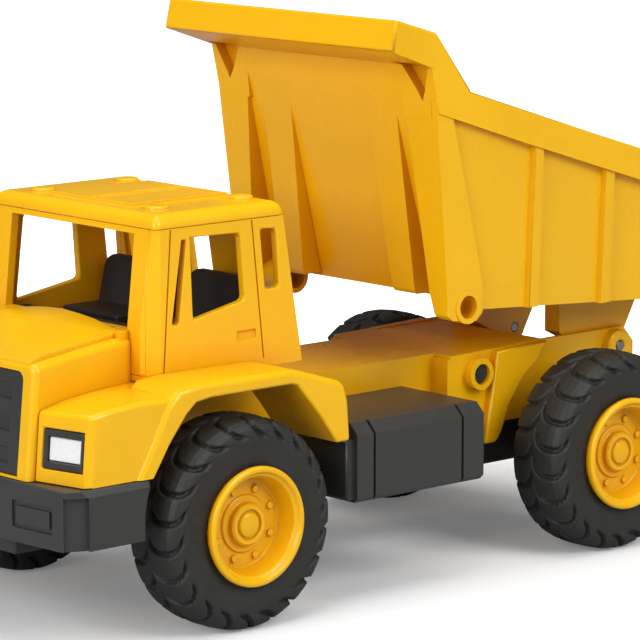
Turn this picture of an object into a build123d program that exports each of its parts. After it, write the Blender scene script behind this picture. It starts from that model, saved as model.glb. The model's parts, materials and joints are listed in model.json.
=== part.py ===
from build123d import *
import os
import math

# Toy dump truck: moulded cab with hood and fenders, dark bumper, frame and
# side boxes, four turning wheels and a tipping load bed with a canopy.
# Millimetres. +X is the front, +Y the left side, +Z up.
# The dimensions below are stated from the front axle (x = 0), the centre
# plane (y = 0) and the floor (z = 0). The whole truck is moved along X at the
# end so that the origin is the centre of its footprint.

# ---------------------------------------------------------------- clearances
RUN_GAP = 0.08          # radial running gap of a bore on its own pin
SEAT_GAP = 0.3          # gap between separate mouldings that lie together
PANEL_GAP = 0.1         # gap between the cab's panels at their joints
WALL = 3.0              # general moulded wall
CUT = 1.0               # how far a cutter stands past the face it cuts
BLOCK = 400.0           # a cutter larger than any piece

# ------------------------------------------------------------------- wheels
WHEELBASE = 234.4
TYRE_R = 47.5           # out to the tips of the lugs
TYRE_ROOT_R = 44.6      # tread between the lugs
TYRE_BEAD_R = 25.2      # bore of the tyre on its rim
TYRE_OUT_Y = 91.4       # outer sidewall
TYRE_WIDE = 32.0
LUG_COUNT = 22          # on each shoulder
LUG_GROOVE = 2.2        # space between two lugs
LUG_SKEW_DEG = 9.0      # lugs slant across the tread
RIM_OUT_Y = 95.0        # outer face of the rim lip
RIM_LIP_R = 26.8
RIM_WALL = 2.4
RIM_DISC_DEEP = 11.0    # disc behind the lip
RIM_DISC_R = 19.5
RIM_DISC_WALL = 3.0
STUD_COUNT = 8
STUD_RING_R = 16.0
STUD_R = 1.7
STUD_HIGH = 1.6
HUB_RING_R = 12.6
HUB_CAP_R = 9.4
HUB_CAP_HIGH = 4.4
HUB_NUT_R = 6.2
HUB_TUBE_R = 6.5
AXLE_R = 2.5
AXLE_END_Y = 85.0       # axle end inside the hub cap
AXLE_Z = TYRE_R
WHEEL_SIDE_GAP = 1.6    # hub tube to the axle carrier

# --------------------------------------------------------------- frame parts
FRAME_HALF_FRONT = 30.0
FRAME_HALF_REAR = 41.0
FRAME_TOP = 95.5
FRAME_BOTTOM = 60.0
FRAME_FRONT_X = 78.0
FRAME_STEP_X = -168.0   # the frame widens behind this
FRAME_DECK_END_X = -234.0
FRAME_TAIL_X = -292.0
FRAME_RIB_STEP = 38.0
UNDER_BOTTOM = 37.0
UNDER_FRONT_X = 84.0
CARRIER_HALF_X = 9.0
CARRIER_BOTTOM = 40.0
BOSS_X = -183.2         # round screw bosses on the frame's sides
BOSS_Z = 85.6
BOSS_R = 7.6
BOSS_HOLE_R = 5.0
BOSS_OUT_Y = 46.0

# --------------------------------------------------------------- side boxes
BOX_OUT = 85.0
BOX_X0, BOX_X1 = -146.0, -67.0
BOX_Z0, BOX_Z1 = 46.5, 82.5
BOX_BEVEL = 5.0
BOX_GROOVE = 1.6        # width and depth of the lid's strap grooves
BOX_GROOVE_X = (-132.5, -77.5)

# ------------------------------------------------------------- bed and hinge
HINGE_X = -278.0
HINGE_Z = 88.0
HINGE_PIN_R = 2.5
HINGE_EYE_R = 7.0
EAR_R = 8.0
EAR_OUT_Y = 46.0
HINGE_SIDE_GAP = 0.8
BED_RIB_IN_Y = 27.5
BED_RIB_FRONT_X = -243.5
BED_TOP_HALF = 73.4     # side wall's outer face under the rim band
BED_BOTTOM_HALF = 70.0  # and at its lower edge
BED_RIM_HALF = 76.5     # outer face of the rim band and canopy
BED_WALL = 3.2
BED_FLOOR = 4.0
BED_SKIRT = 4.2         # side walls reach this far below the floor
BED_FRONT_X = -151.0    # foot of the front wall
BED_BOSS_X = -146.5     # round hollow bosses at the feet of the posts
BED_BOSS_Z = 125.4
BED_BOSS_R = 7.8
BED_BOSS_HOLE_R = 5.4
BED_BOSS_OUT_Y = 74.0
BED_BOSS_LONG = {"left": 10.0, "right": 28.5}    # the right boss has a longer sleeve
TAIL_X = -325.0
RIM_END_X = -311.0
RIM_SLOPE_DEG = 17.5
RIM_BAND = 16.0         # height of the band along the rim
BOTTOM_SLOPE_DEG = 3.8
BED_RIB_PROUD = 2.8
BED_RIB_CREST = 4.0
BED_RIB_PITCH = 48.5
BED_RIB_FIRST_X = -186.5
BED_RIB_COUNT = 3

# ----------------------------------------------------------------- cab, hood
CAB_HALF = 57.5
CAB_WALL = 4.0
CAB_FLOOR_Z = 109.2
ROOF_TOP = 184.0
ROOF_CAP = 7.8          # height of the roof cap on the shell
ROOF_SKIN = 4.8
ROOF_ROUND = 5.5
CAB_SEAM_Z = ROOF_TOP - ROOF_CAP
WINDOW_TOP = CAB_SEAM_Z - 5.3
SCREEN_HALF = CAB_HALF - 14.0
SCREEN_Z0, SCREEN_Z1 = 131.9, CAB_SEAM_Z - 2.6
LAMP_WIDE = 22.0
FENDER_OUT = CAB_HALF + LAMP_WIDE + 6.5
LIP_PROUD = 1.6         # arch lip stands out from the fender's side
FENDER_IN = 46.5
FENDER_BOTTOM = 75.6
FLARE_TOP = 113.2
FLARE_ROUND = 3.0
NOSE_LEAN_DEG = 5.7     # the nose leans back
HOOD_FRONT_X = 97.6     # at its lower edge
HOOD_REAR_X = 31.6
HOOD_HALF_FRONT = CAB_HALF + 1.0
HOOD_HALF_REAR = CAB_HALF - 11.5
HOOD_ROUND = 4.0        # along the hood's shoulders
GRILLE_HALF = HOOD_HALF_FRONT - 8.6
GRILLE_Z0, GRILLE_Z1 = 76.6, 121.6
GRILLE_ROUND = 4.0
GRILLE_DEEP = 3.4
SLOT_HALF = GRILLE_HALF - 8.4
SLOT_HIGH = 6.6
SLOT_PITCH = 13.8
SLOT_COUNT = 3
LAMP_Y0 = CAB_HALF + 3.5
LAMP_Y1 = LAMP_Y0 + LAMP_WIDE
LAMP_Z0, LAMP_Z1 = 81.9, 98.7
LAMP_RIM = (1.5, 3.0)   # bezel's width at the sides, and above and below
LAMP_FACE_X = 89.9
BUMPER_FRONT_X = 101.0
BUMPER_HALF = 88.0
BUMPER_BOTTOM = 49.0
BUMPER_LEDGE = 2.9      # sloped top edge of the bumper's sides


def box(x0, x1, y0, y1, z0, z1):
    """A block between two corners."""
    return Pos((x0 + x1) / 2, (y0 + y1) / 2, (z0 + z1) / 2) * Box(
        abs(x1 - x0), abs(y1 - y0), abs(z1 - z0))


def side_prism(points, y0, y1):
    """Outline in X, Z carried from y0 to y1."""
    face = make_face(Polyline(*[(x, y0, z) for x, z in points], close=True))
    return extrude(face, amount=y1 - y0, dir=(0, 1, 0))


def plan_prism(points, z0, z1):
    """Outline in X, Y carried from z0 to z1."""
    face = make_face(Polyline(*[(x, y, z0) for x, y in points], close=True))
    return extrude(face, amount=z1 - z0, dir=(0, 0, 1))


def front_prism(points, x0, x1):
    """Outline in Y, Z carried from x0 to x1."""
    face = make_face(Polyline(*[(x0, y, z) for y, z in points], close=True))
    return extrude(face, amount=x1 - x0, dir=(1, 0, 0))


def rod_y(x, z, r, y0, y1):
    """A round bar along Y."""
    return Pos(x, (y0 + y1) / 2, z) * Rot(90, 0, 0) * Cylinder(r, abs(y1 - y0))


def other_side(shape):
    """The same shape on the truck's right side."""
    return mirror(shape, about=Plane.XZ)


def both_sides(shape):
    return shape + other_side(shape)


def turned(profile, x, z):
    """Outline in radius, y turned about a Y axis through x, z."""
    face = make_face(Polyline(*[(r, y, 0) for r, y in profile], close=True))
    return Pos(x, 0, z) * revolve(face, axis=Axis.Y)


def beyond(p, q, r):
    """A large block on the outer side of the plane through three points."""
    p, q, r = Vector(*p), Vector(*q), Vector(*r)
    face = Plane(origin=p, x_dir=q - p, z_dir=(q - p).cross(r - p))
    return face * Pos(0, 0, BLOCK / 2) * Box(BLOCK, BLOCK, BLOCK)


def cells(x0, x1, half_y, z0, z1):
    """Pairs of hollow cells between x0 and x1, with ribs between them."""
    blocks = []
    while x0 < x1 - 2 * WALL:
        end = min(x0 + FRAME_RIB_STEP - WALL, x1)
        blocks.append(both_sides(box(x0, end, WALL / 2, half_y, z0, z1)))
        x0 = end + WALL
    return blocks


parts = {}

# ==================================================================== wheels
TYRE_IN_Y = TYRE_OUT_Y - TYRE_WIDE
TYRE_MID_Y = TYRE_OUT_Y - TYRE_WIDE / 2
LUG_PITCH_DEG = 360.0 / LUG_COUNT
LUG_HALF = (2 * math.pi * TYRE_R / LUG_COUNT - LUG_GROOVE) / 2
TYRE_HALF = TYRE_WIDE / 2
# Flat lug tops, whose furthest corners lie on the tyre's full radius.
LUG_REACH = LUG_HALF + TYRE_WIDE / 2 * math.sin(math.radians(LUG_SKEW_DEG))
LUG_TOP = math.sqrt(TYRE_R ** 2 - LUG_REACH ** 2)


def many_sided(apothem, y0, y1):
    """Block with one side for each lug pitch, with its corners under the lugs."""
    corner = apothem / math.cos(math.radians(LUG_PITCH_DEG / 2))
    turns = [math.radians(i * LUG_PITCH_DEG) for i in range(LUG_COUNT)]
    return side_prism([(corner * math.sin(a), corner * math.cos(a)) for a in turns], y0, y1)


def tyre_lug():
    """One lug of the outer row, standing up from the tread."""
    lug = box(-LUG_HALF, LUG_HALF, -TYRE_HALF, TYRE_HALF, TYRE_ROOT_R - 1.0, LUG_TOP)
    lug = Pos(0, TYRE_HALF, 0) * Rot(0, 0, LUG_SKEW_DEG) * Pos(0, -TYRE_HALF, 0) * lug
    return lug & box(-BLOCK, BLOCK, 0, TYRE_HALF, 0, BLOCK)


def tyre_shape():
    """A whole tyre, centred on the origin, turning about Y."""
    ring = many_sided(TYRE_ROOT_R, 0, TYRE_HALF)
    ring -= many_sided(TYRE_BEAD_R, -CUT, TYRE_HALF + CUT)
    lug = tyre_lug()
    half = ring.fuse(*[Rot(0, i * LUG_PITCH_DEG, 0) * lug for i in range(LUG_COUNT)])
    return half + Rot(0, LUG_PITCH_DEG / 2, 0) * Rot(0, 0, 180) * half


RIM_IN_Y = TYRE_IN_Y + 1.0
HUB_END_Y = TYRE_IN_Y - 0.6          # inner end of the hub tube
DISC_Y = RIM_OUT_Y - RIM_DISC_DEEP   # outer face of the disc


def rim_shape():
    """A rim of the left side on an axle at x = z = 0, with its blind bore."""
    cap_y = DISC_Y + HUB_CAP_HIGH
    body = turned([
        (0, DISC_Y - RIM_DISC_WALL),
        (TYRE_BEAD_R - RIM_WALL, DISC_Y - RIM_DISC_WALL),
        (TYRE_BEAD_R - RIM_WALL, RIM_IN_Y), (TYRE_BEAD_R, RIM_IN_Y),
        (TYRE_BEAD_R, TYRE_OUT_Y + 0.6), (RIM_LIP_R, TYRE_OUT_Y + 0.6),
        (RIM_LIP_R, RIM_OUT_Y - 0.8), (RIM_LIP_R - 0.8, RIM_OUT_Y),
        (RIM_LIP_R - 2.4, RIM_OUT_Y), (RIM_LIP_R - 3.4, RIM_OUT_Y - 1.6),
        (RIM_LIP_R - 4.6, RIM_OUT_Y - 2.2), (RIM_DISC_R + 0.6, DISC_Y + 1.0),
        (RIM_DISC_R, DISC_Y), (HUB_RING_R + 0.4, DISC_Y), (HUB_RING_R, DISC_Y + 1.2),
        (HUB_CAP_R + 0.5, DISC_Y + 1.2), (HUB_CAP_R, cap_y - 0.8),
        (HUB_CAP_R - 0.8, cap_y), (HUB_NUT_R + 0.8, cap_y),
        (HUB_NUT_R + 0.4, cap_y - 1.2), (HUB_NUT_R - 0.2, cap_y - 1.2),
        (HUB_NUT_R - 0.9, cap_y + 0.2), (HUB_NUT_R - 2.4, cap_y + 0.8),
        (0, cap_y + 1.0)], 0, 0)
    tube = rod_y(0, 0, HUB_TUBE_R, HUB_END_Y, DISC_Y - 1.0)
    stud = rod_y(0, STUD_RING_R, STUD_R, DISC_Y - 1.0, DISC_Y + STUD_HIGH)
    studs = [Rot(0, (i + 0.5) * 360.0 / STUD_COUNT, 0) * stud for i in range(STUD_COUNT)]
    bore = rod_y(0, 0, AXLE_R + RUN_GAP, HUB_END_Y - CUT, AXLE_END_Y + 0.6)
    return body.fuse(tube, *studs) - bore


tyre_model = tyre_shape()
rim_model = rim_shape()
for end, axle_x in (("front", 0.0), ("rear", -WHEELBASE)):
    tyre = Pos(axle_x, TYRE_MID_Y, AXLE_Z) * tyre_model
    rim = Pos(axle_x, 0, AXLE_Z) * rim_model
    parts["tyre_%s_left" % end] = tyre
    parts["tyre_%s_right" % end] = other_side(tyre)
    parts["rim_%s_left" % end] = rim
    parts["rim_%s_right" % end] = other_side(rim)
    parts["axle_%s" % end] = rod_y(axle_x, AXLE_Z, AXLE_R, -AXLE_END_Y, AXLE_END_Y)

# =============================================== underframe and axle carriers
UNDER_TOP = FRAME_BOTTOM - SEAT_GAP
CARRIER_END_Y = HUB_END_Y - WHEEL_SIDE_GAP
under = box(FRAME_TAIL_X, UNDER_FRONT_X, -FRAME_HALF_FRONT, FRAME_HALF_FRONT,
            UNDER_BOTTOM, UNDER_TOP)
for end, axle_x in (("front", 0.0), ("rear", -WHEELBASE)):
    carrier = box(axle_x - CARRIER_HALF_X, axle_x + CARRIER_HALF_X,
                  -CARRIER_END_Y, CARRIER_END_Y, CARRIER_BOTTOM, UNDER_TOP)
    carrier = chamfer(carrier.edges().filter_by(Axis.Y).group_by(Axis.Z)[0], 3.0)
    carrier -= rod_y(axle_x, AXLE_Z, AXLE_R, -CARRIER_END_Y - CUT, CARRIER_END_Y + CUT)
    parts["axle_carrier_%s" % end] = carrier
    under -= box(axle_x - CARRIER_HALF_X - SEAT_GAP, axle_x + CARRIER_HALF_X + SEAT_GAP,
                 -FRAME_HALF_FRONT - CUT, FRAME_HALF_FRONT + CUT,
                 CARRIER_BOTTOM - SEAT_GAP, UNDER_TOP + CUT)
CARRIER_CLEAR = CARRIER_HALF_X + SEAT_GAP + WALL
for x0, x1 in ((FRAME_TAIL_X + WALL, -WHEELBASE - CARRIER_CLEAR),
               (-WHEELBASE + CARRIER_CLEAR, -CARRIER_CLEAR),
               (CARRIER_CLEAR, UNDER_FRONT_X - WALL)):
    for cell in cells(x0, x1, FRAME_HALF_FRONT - WALL, UNDER_BOTTOM + WALL, UNDER_TOP + CUT):
        under -= cell
parts["underframe"] = under

# ===================================================================== frame
frame = box(FRAME_STEP_X, FRAME_FRONT_X, -FRAME_HALF_FRONT, FRAME_HALF_FRONT,
            FRAME_BOTTOM, FRAME_TOP)
for cell in cells(FRAME_STEP_X + WALL, FRAME_FRONT_X - WALL, FRAME_HALF_FRONT - WALL,
                  FRAME_BOTTOM - CUT, FRAME_TOP - WALL):
    frame -= cell
# Rear half: deck between two side plates that run back to the hinge ears.
TAIL_DROP = 7.0
TAIL_MEMBER_TOP = 76.0
rear_outline = [
    (FRAME_STEP_X, FRAME_BOTTOM), (FRAME_STEP_X, FRAME_TOP),
    (FRAME_DECK_END_X, FRAME_TOP + 1.0), (FRAME_TAIL_X + TAIL_DROP, FRAME_TOP + 1.0),
    (FRAME_TAIL_X, FRAME_TOP - TAIL_DROP), (FRAME_TAIL_X, FRAME_BOTTOM)]
rear_plate = side_prism(rear_outline, FRAME_HALF_REAR - WALL, FRAME_HALF_REAR)
frame += both_sides(rear_plate)
frame += box(FRAME_DECK_END_X, FRAME_STEP_X + CUT, -FRAME_HALF_REAR, FRAME_HALF_REAR,
             FRAME_TOP - WALL, FRAME_TOP)
for x0 in (FRAME_STEP_X, FRAME_STEP_X - FRAME_RIB_STEP + WALL, FRAME_DECK_END_X):
    frame += box(x0, x0 + WALL, -FRAME_HALF_REAR, FRAME_HALF_REAR,
                 FRAME_BOTTOM, FRAME_TOP - WALL / 2)
frame += box(FRAME_DECK_END_X, FRAME_STEP_X, -WALL / 2, WALL / 2,
             FRAME_BOTTOM, FRAME_TOP - WALL / 2)
frame += box(FRAME_TAIL_X, FRAME_TAIL_X + WALL, -FRAME_HALF_REAR, FRAME_HALF_REAR,
             FRAME_BOTTOM, TAIL_MEMBER_TOP)
frame += box(FRAME_TAIL_X, FRAME_DECK_END_X, -FRAME_HALF_REAR, FRAME_HALF_REAR,
             FRAME_BOTTOM, FRAME_BOTTOM + WALL)
# Hinge ears and round side bosses.
ear = rod_y(HINGE_X, HINGE_Z, EAR_R, FRAME_HALF_REAR - WALL, EAR_OUT_Y)
frame += both_sides(ear)
frame -= rod_y(HINGE_X, HINGE_Z, HINGE_PIN_R, -EAR_OUT_Y - CUT, EAR_OUT_Y + CUT)
boss = rod_y(BOSS_X, BOSS_Z, BOSS_R, FRAME_HALF_REAR - WALL, BOSS_OUT_Y)
frame += both_sides(boss)
BOSS_FLOOR_Y = FRAME_HALF_REAR - 1.0
frame -= both_sides(rod_y(BOSS_X, BOSS_Z, BOSS_HOLE_R, BOSS_FLOOR_Y, BOSS_OUT_Y + CUT))
# Raised bed that carries the cab floor.
frame += box(-50.0, 30.0, -FRAME_HALF_FRONT, FRAME_HALF_FRONT, FRAME_TOP - CUT, CAB_FLOOR_Z)
# Guards in front of the rear wheels, cut back along the tyre.
guard = side_prism([(-194.0, FRAME_TOP), (-228.0, FRAME_TOP + 1.0), (-222.0, 88.0),
                    (-212.0, 80.0), (-203.0, 68.0), (-198.0, 56.0), (-194.0, 51.0),
                    (-186.5, 51.0)], FRAME_HALF_REAR - 0.5, FRAME_HALF_REAR + 4.0)
frame += both_sides(guard)
parts["frame"] = frame
plug = rod_y(BOSS_X, BOSS_Z, BOSS_HOLE_R - SEAT_GAP, BOSS_FLOOR_Y, BOSS_OUT_Y - 1.6)
parts["boss_plug_left"] = plug
parts["boss_plug_right"] = other_side(plug)
parts["hinge_pin"] = both_sides(rod_y(HINGE_X, HINGE_Z, HINGE_PIN_R, BED_RIB_IN_Y, EAR_OUT_Y))

# ============================================================ side tool boxes
BOX_IN = FRAME_HALF_FRONT + SEAT_GAP
tool_box = front_prism([(BOX_IN, BOX_Z0), (BOX_OUT - 2.0, BOX_Z0), (BOX_OUT, BOX_Z0 + 2.0),
                        (BOX_OUT, BOX_Z1 - BOX_BEVEL), (BOX_OUT - BOX_BEVEL, BOX_Z1),
                        (BOX_IN, BOX_Z1)], BOX_X0, BOX_X1)
cell_long = (BOX_X1 - BOX_X0 - 3 * WALL) / 2
for x0 in (BOX_X0 + WALL, BOX_X1 - WALL - cell_long):
    tool_box -= box(x0, x0 + cell_long, BOX_IN + WALL, BOX_OUT - BOX_BEVEL - WALL,
                    BOX_Z0 - CUT, BOX_Z1 - WALL)
groove_line = [(BOX_OUT - BOX_GROOVE, BOX_Z0 - CUT), (BOX_OUT + CUT, BOX_Z0 - CUT),
               (BOX_OUT + CUT, BOX_Z1 + CUT), (BOX_OUT - BOX_BEVEL - BOX_GROOVE, BOX_Z1 + CUT),
               (BOX_OUT - BOX_BEVEL - BOX_GROOVE, BOX_Z1 - BOX_GROOVE / 2),
               (BOX_OUT - BOX_GROOVE, BOX_Z1 - BOX_BEVEL - BOX_GROOVE / 2)]
for x in BOX_GROOVE_X:
    tool_box -= front_prism(groove_line, x - BOX_GROOVE / 2, x + BOX_GROOVE / 2)
# Step bracket between the box and the fender.
STEP_FRONT_X = -62.5
tool_box += box(BOX_X1 - CUT, STEP_FRONT_X, BOX_IN, BOX_OUT - 2.5, BOX_Z0 + 1.5,
                FENDER_BOTTOM - SEAT_GAP)
parts["tool_box_left"] = tool_box
parts["tool_box_right"] = other_side(tool_box)

# ==================================================================== bumper
BUMPER_TOP = FENDER_BOTTOM - SEAT_GAP
BUMPER_REAR_X = 54.0
bumper_plan = [(BUMPER_FRONT_X, 0), (BUMPER_FRONT_X - 0.5, 41.0), (98.0, 83.4),
               (89.4, BUMPER_HALF), (BUMPER_REAR_X, BUMPER_HALF), (BUMPER_REAR_X, 0)]
outer = plan_prism(bumper_plan, BUMPER_BOTTOM, BUMPER_TOP)
# The sides' rear ends hang nearly straight, beside the front tyres.
outer -= side_prism([(40.0, 40.0), (BUMPER_REAR_X + 3.5, 40.0), (BUMPER_REAR_X + 3.5, 60.0),
                     (BUMPER_REAR_X + 2.3, 66.8), (BUMPER_REAR_X, BUMPER_TOP),
                     (BUMPER_REAR_X, 90.0), (40.0, 90.0)], 0, 100)
inner_plan = [(96.0, -CUT), (95.5, 41.0), (92.6, 78.0), (86.0, 82.4), (84.0, 83.5),
              (40.0, 83.5), (40.0, -CUT)]
outer -= plan_prism(inner_plan, BUMPER_BOTTOM + WALL, BUMPER_TOP - WALL)
outer -= box(40.0, 86.0, -CUT, 76.0, BUMPER_BOTTOM - CUT, BUMPER_TOP + CUT)
# Sloped upper edge of the sides, corner recess and the plain front panel.
outer -= front_prism([(BUMPER_HALF - 1.6, BUMPER_TOP + 0.1), (BUMPER_HALF + CUT, BUMPER_TOP + 0.1),
                      (BUMPER_HALF + CUT, BUMPER_TOP - BUMPER_LEDGE),
                      (BUMPER_HALF, BUMPER_TOP - BUMPER_LEDGE)], 40.0, 110.0)
outer -= plan_prism([(98.9, 82.9), (96.4, 80.9), (88.2, 85.2), (88.6, 88.8)],
                    BUMPER_BOTTOM - CUT, BUMPER_TOP - BUMPER_LEDGE)
PANEL_Y0, PANEL_Y1, PANEL_Z0, PANEL_Z1 = 49.5, 75.6, 55.5, 67.5
PANEL_RING = 2.4        # sunk ring around the plain panel
panel = box(97.0, 103.0, PANEL_Y0, PANEL_Y1, PANEL_Z0, PANEL_Z1)
panel -= box(96.0, 104.0, PANEL_Y0 + PANEL_RING, PANEL_Y1 - PANEL_RING,
             PANEL_Z0 + PANEL_RING, PANEL_Z1 - PANEL_RING)
panel_face = plan_prism([(BUMPER_FRONT_X - 1.7, 41.0), (96.8, 83.4), (90.0, 83.4), (90.0, 41.0)],
                        PANEL_Z0 - CUT, PANEL_Z1 + CUT)
outer -= panel - panel_face
for y in (40.0, 79.0):
    outer += box(86.0, 96.5, y - WALL / 2, y + WALL / 2, BUMPER_BOTTOM, BUMPER_TOP)
bumper = both_sides(outer)
bumper += box(UNDER_FRONT_X + SEAT_GAP, 97.0, -12.0, 12.0, BUMPER_BOTTOM, BUMPER_TOP)
parts["bumper"] = bumper

# =================================================================== fenders
fender_in = CAB_HALF + SEAT_GAP
NOSE_Z0 = 104.6         # top of the fender at the nose
DECK_Z = 109.0          # and beside the hood's rear end
FENDER_REAR_X = -61.2
ARCH_Z = 76.6
# Wheel arch, and the outer line of the lip around it, from the front foot.
arch = [(52.9, FENDER_BOTTOM), (45.6, 86.8), (34.4, 100.5), (28.7, 105.2), (20.3, 106.3),
        (-25.7, 106.3), (-29.3, 105.4), (-42.3, 90.4), (-52.6, ARCH_Z)]
lip_line = [(61.7, FENDER_BOTTOM), (53.3, 90.0), (45.4, 105.0), (38.2, 111.9),
            (25.9, FLARE_TOP), (-25.8, FLARE_TOP - 0.4), (-31.6, 111.5), (-54.2, 104.6),
            (-57.6, 102.0), (-59.8, 94.9), (FENDER_REAR_X, ARCH_Z)]
lip = side_prism(lip_line + arch[::-1], fender_in, FENDER_OUT + LIP_PROUD)
line_mids = [((a[0] + b[0]) / 2, (a[1] + b[1]) / 2) for a, b in zip(lip_line, lip_line[1:])]
lip_edges = [e for e in lip.edges() if abs(e.center().Y - FENDER_OUT - LIP_PROUD) < 0.01
             and min(math.dist((e.center().X, e.center().Z), mid) for mid in line_mids) < 0.1]
lip = fillet(lip_edges, FLARE_ROUND)
# Lamp box in front of the arch, whose nose leans and turns back to its corner.
box_line = [(HOOD_FRONT_X, FENDER_BOTTOM), (HOOD_FRONT_X, NOSE_Z0), (75.0, 107.9),
            (60.0, DECK_Z), (HOOD_REAR_X, DECK_Z), (HOOD_REAR_X, 104.4), (34.4, 102.2),
            (47.5, 86.8), (54.8, FENDER_BOTTOM)]
lamp_box = side_prism(box_line, FENDER_IN, FENDER_OUT)
LAMP_TURN_DEG = 11.4
lamp_mid_y = (LAMP_Y0 + LAMP_Y1) / 2
LAMP_PLACE = (Pos(LAMP_FACE_X, lamp_mid_y, (LAMP_Z0 + LAMP_Z1) / 2)
              * Rot(0, 0, LAMP_TURN_DEG) * Rot(0, -NOSE_LEAN_DEG, 0))
lamp_box -= LAMP_PLACE * box(0, 50.0, -50.0, 50.0, -50.0, 50.0)
CORNER_PLACE = Pos(85.7, FENDER_OUT - 0.75, 90.0) * Rot(0, 0, 66) * Rot(0, -2.3, 0)
lamp_box -= CORNER_PLACE * box(0, 20.0, -20.0, 20.0, -50.0, 50.0)
top_edges = [e for e in lamp_box.edges() if e.center().Z > 103.0 and e.center().X > 50.0
             and (e.center().Y > FENDER_OUT - 2.9 or e.center().X > 86.0)
             and abs(e.tangent_at(0.5).Z) < 0.5]
lamp_box = fillet(top_edges, FLARE_ROUND - 0.4)
fender = lip + lamp_box
# The hood's side and the space under the cab.
SIDE_SLOPE = (HOOD_HALF_FRONT - HOOD_HALF_REAR) / (HOOD_FRONT_X - HOOD_REAR_X)


def hood_plan(inset, x0, x1, z0, z1):
    """Block as wide as the hood, set in by an amount, between x0 and x1."""
    rear, front = [HOOD_HALF_REAR + (x - HOOD_REAR_X) * SIDE_SLOPE - inset for x in (x0, x1)]
    return plan_prism([(x0, -rear), (x1, -front), (x1, front), (x0, rear)], z0, z1)


fender -= hood_plan(-SEAT_GAP, HOOD_REAR_X - SEAT_GAP, 110.0, 60.0, 140.0)
# Wheel housing under the cab.
arch_top = DECK_Z - 0.1
fender += side_prism(arch[2:] + [(-56.5, ARCH_Z), (-31.5, arch_top), (HOOD_REAR_X - SEAT_GAP, arch_top),
                                 (HOOD_REAR_X - SEAT_GAP, 104.4)], FENDER_IN, fender_in + 0.5)
fender -= box(60.5, 80.0, fender_in + 1.0, FENDER_OUT - 6.5, FENDER_BOTTOM - CUT, 101.0)

# ================================================================= headlamps
# Local frame: the lamp sits in the turned-back face, x along the face's normal.
LAMP_HIGH = LAMP_Z1 - LAMP_Z0
LAMP_DEEP = 5.0
LENS_DEEP = 2.2         # lens behind the face
side_rim, top_rim = LAMP_RIM
bezel = Pos(-LAMP_DEEP / 2, 0, 0) * Box(LAMP_DEEP, LAMP_WIDE, LAMP_HIGH)
bezel -= box(-LENS_DEEP - 1.0, CUT, side_rim - LAMP_WIDE / 2, LAMP_WIDE / 2 - side_rim,
             top_rim - LAMP_HIGH / 2, LAMP_HIGH / 2 - top_rim)
lens_half_y = LAMP_WIDE / 2 - side_rim - SEAT_GAP
lens_half_z = LAMP_HIGH / 2 - top_rim - SEAT_GAP
lens = box(-LENS_DEEP - 1.0, -LENS_DEEP, -lens_half_y, lens_half_y, -lens_half_z, lens_half_z)
hole = Pos(-LAMP_DEEP / 2, 0, 0) * Box(LAMP_DEEP + 2 * SEAT_GAP + 1.0, LAMP_WIDE + 2 * SEAT_GAP,
                                       LAMP_HIGH + 2 * SEAT_GAP)
fender -= LAMP_PLACE * hole
parts["fender_left"] = fender
parts["fender_right"] = other_side(fender)
parts["headlamp_bezel_left"] = LAMP_PLACE * bezel
parts["headlamp_bezel_right"] = other_side(LAMP_PLACE * bezel)
parts["headlamp_lens_left"] = LAMP_PLACE * lens
parts["headlamp_lens_right"] = other_side(LAMP_PLACE * lens)

# ====================================================================== hood
NOSE_SLOPE = math.tan(math.radians(NOSE_LEAN_DEG))
NOSE_TOP_Z = 125.0


def nose_x(z):
    """Front face of the hood at a height."""
    return HOOD_FRONT_X - (z - FENDER_BOTTOM) * NOSE_SLOPE


hood = side_prism([(56.9 + SEAT_GAP, FENDER_BOTTOM), (HOOD_FRONT_X, FENDER_BOTTOM),
                   (nose_x(NOSE_TOP_Z), NOSE_TOP_Z), (74.0, 126.4), (54.0, 127.9),
                   (HOOD_REAR_X, 129.0), (HOOD_REAR_X, 96.5)], -BLOCK / 4, BLOCK / 4)
hood &= hood_plan(0.0, HOOD_REAR_X, HOOD_FRONT_X, 70.0, 140.0)
side_edges = [e for e in hood.edges()
              if abs(e.center().Y) > HOOD_HALF_REAR and e.center().Z > 124.0 and e.length > 10.0]
hood = fillet(side_edges, HOOD_ROUND)
nose_edges = [e for e in hood.edges() if e.center().X > nose_x(NOSE_TOP_Z)
              and abs(e.center().Y) > HOOD_HALF_FRONT - 2.0 and e.length > 30.0]
hood = fillet(nose_edges, 3.0)
# Lid raised above the shoulders: a middle that falls to the nose, with a
# three-cornered facet and a sloping flank on each side.
LID_X1 = nose_x(NOSE_TOP_Z) - 0.8
lid = hood_plan(5.0, HOOD_REAR_X, LID_X1, 118.0, 137.0)
LID_FACETS = [
    ((31.6, 0.0, 136.0), (60.5, 4.0, 134.6), (60.5, 24.0, 133.5)),      # middle
    ((60.5, 4.0, 134.6), (75.5, 37.5, 130.4), (46.9, 26.7, 133.0)),     # facet
    ((46.9, 26.7, 133.0), (75.5, 37.5, 130.4), (62.0, 47.0, 129.0)),    # flank
]
for p, q, r in LID_FACETS:
    lid -= both_sides(beyond(p, q, r))
lid -= beyond((75.5, 37.5, 130.4), (75.5, -37.5, 130.4), (LID_X1, 0.0, 125.4))
hood += lid
COWL_X = 37.5
hood += hood_plan(1.2, HOOD_REAR_X, COWL_X, 118.0, 131.6)
hollow = side_prism([(60.0 + SEAT_GAP, FENDER_BOTTOM - CUT),
                     (nose_x(FENDER_BOTTOM) - 3.4, FENDER_BOTTOM - CUT),
                     (nose_x(120.5) - 3.4, 120.5), (54.0, 124.4), (HOOD_REAR_X - CUT, 125.6),
                     (HOOD_REAR_X - CUT, 101.0)], -BLOCK / 4, BLOCK / 4)
hollow &= hood_plan(WALL, HOOD_REAR_X - CUT, HOOD_FRONT_X, 70.0, 140.0)
HOOD_RIB_Y = 20.0
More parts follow.
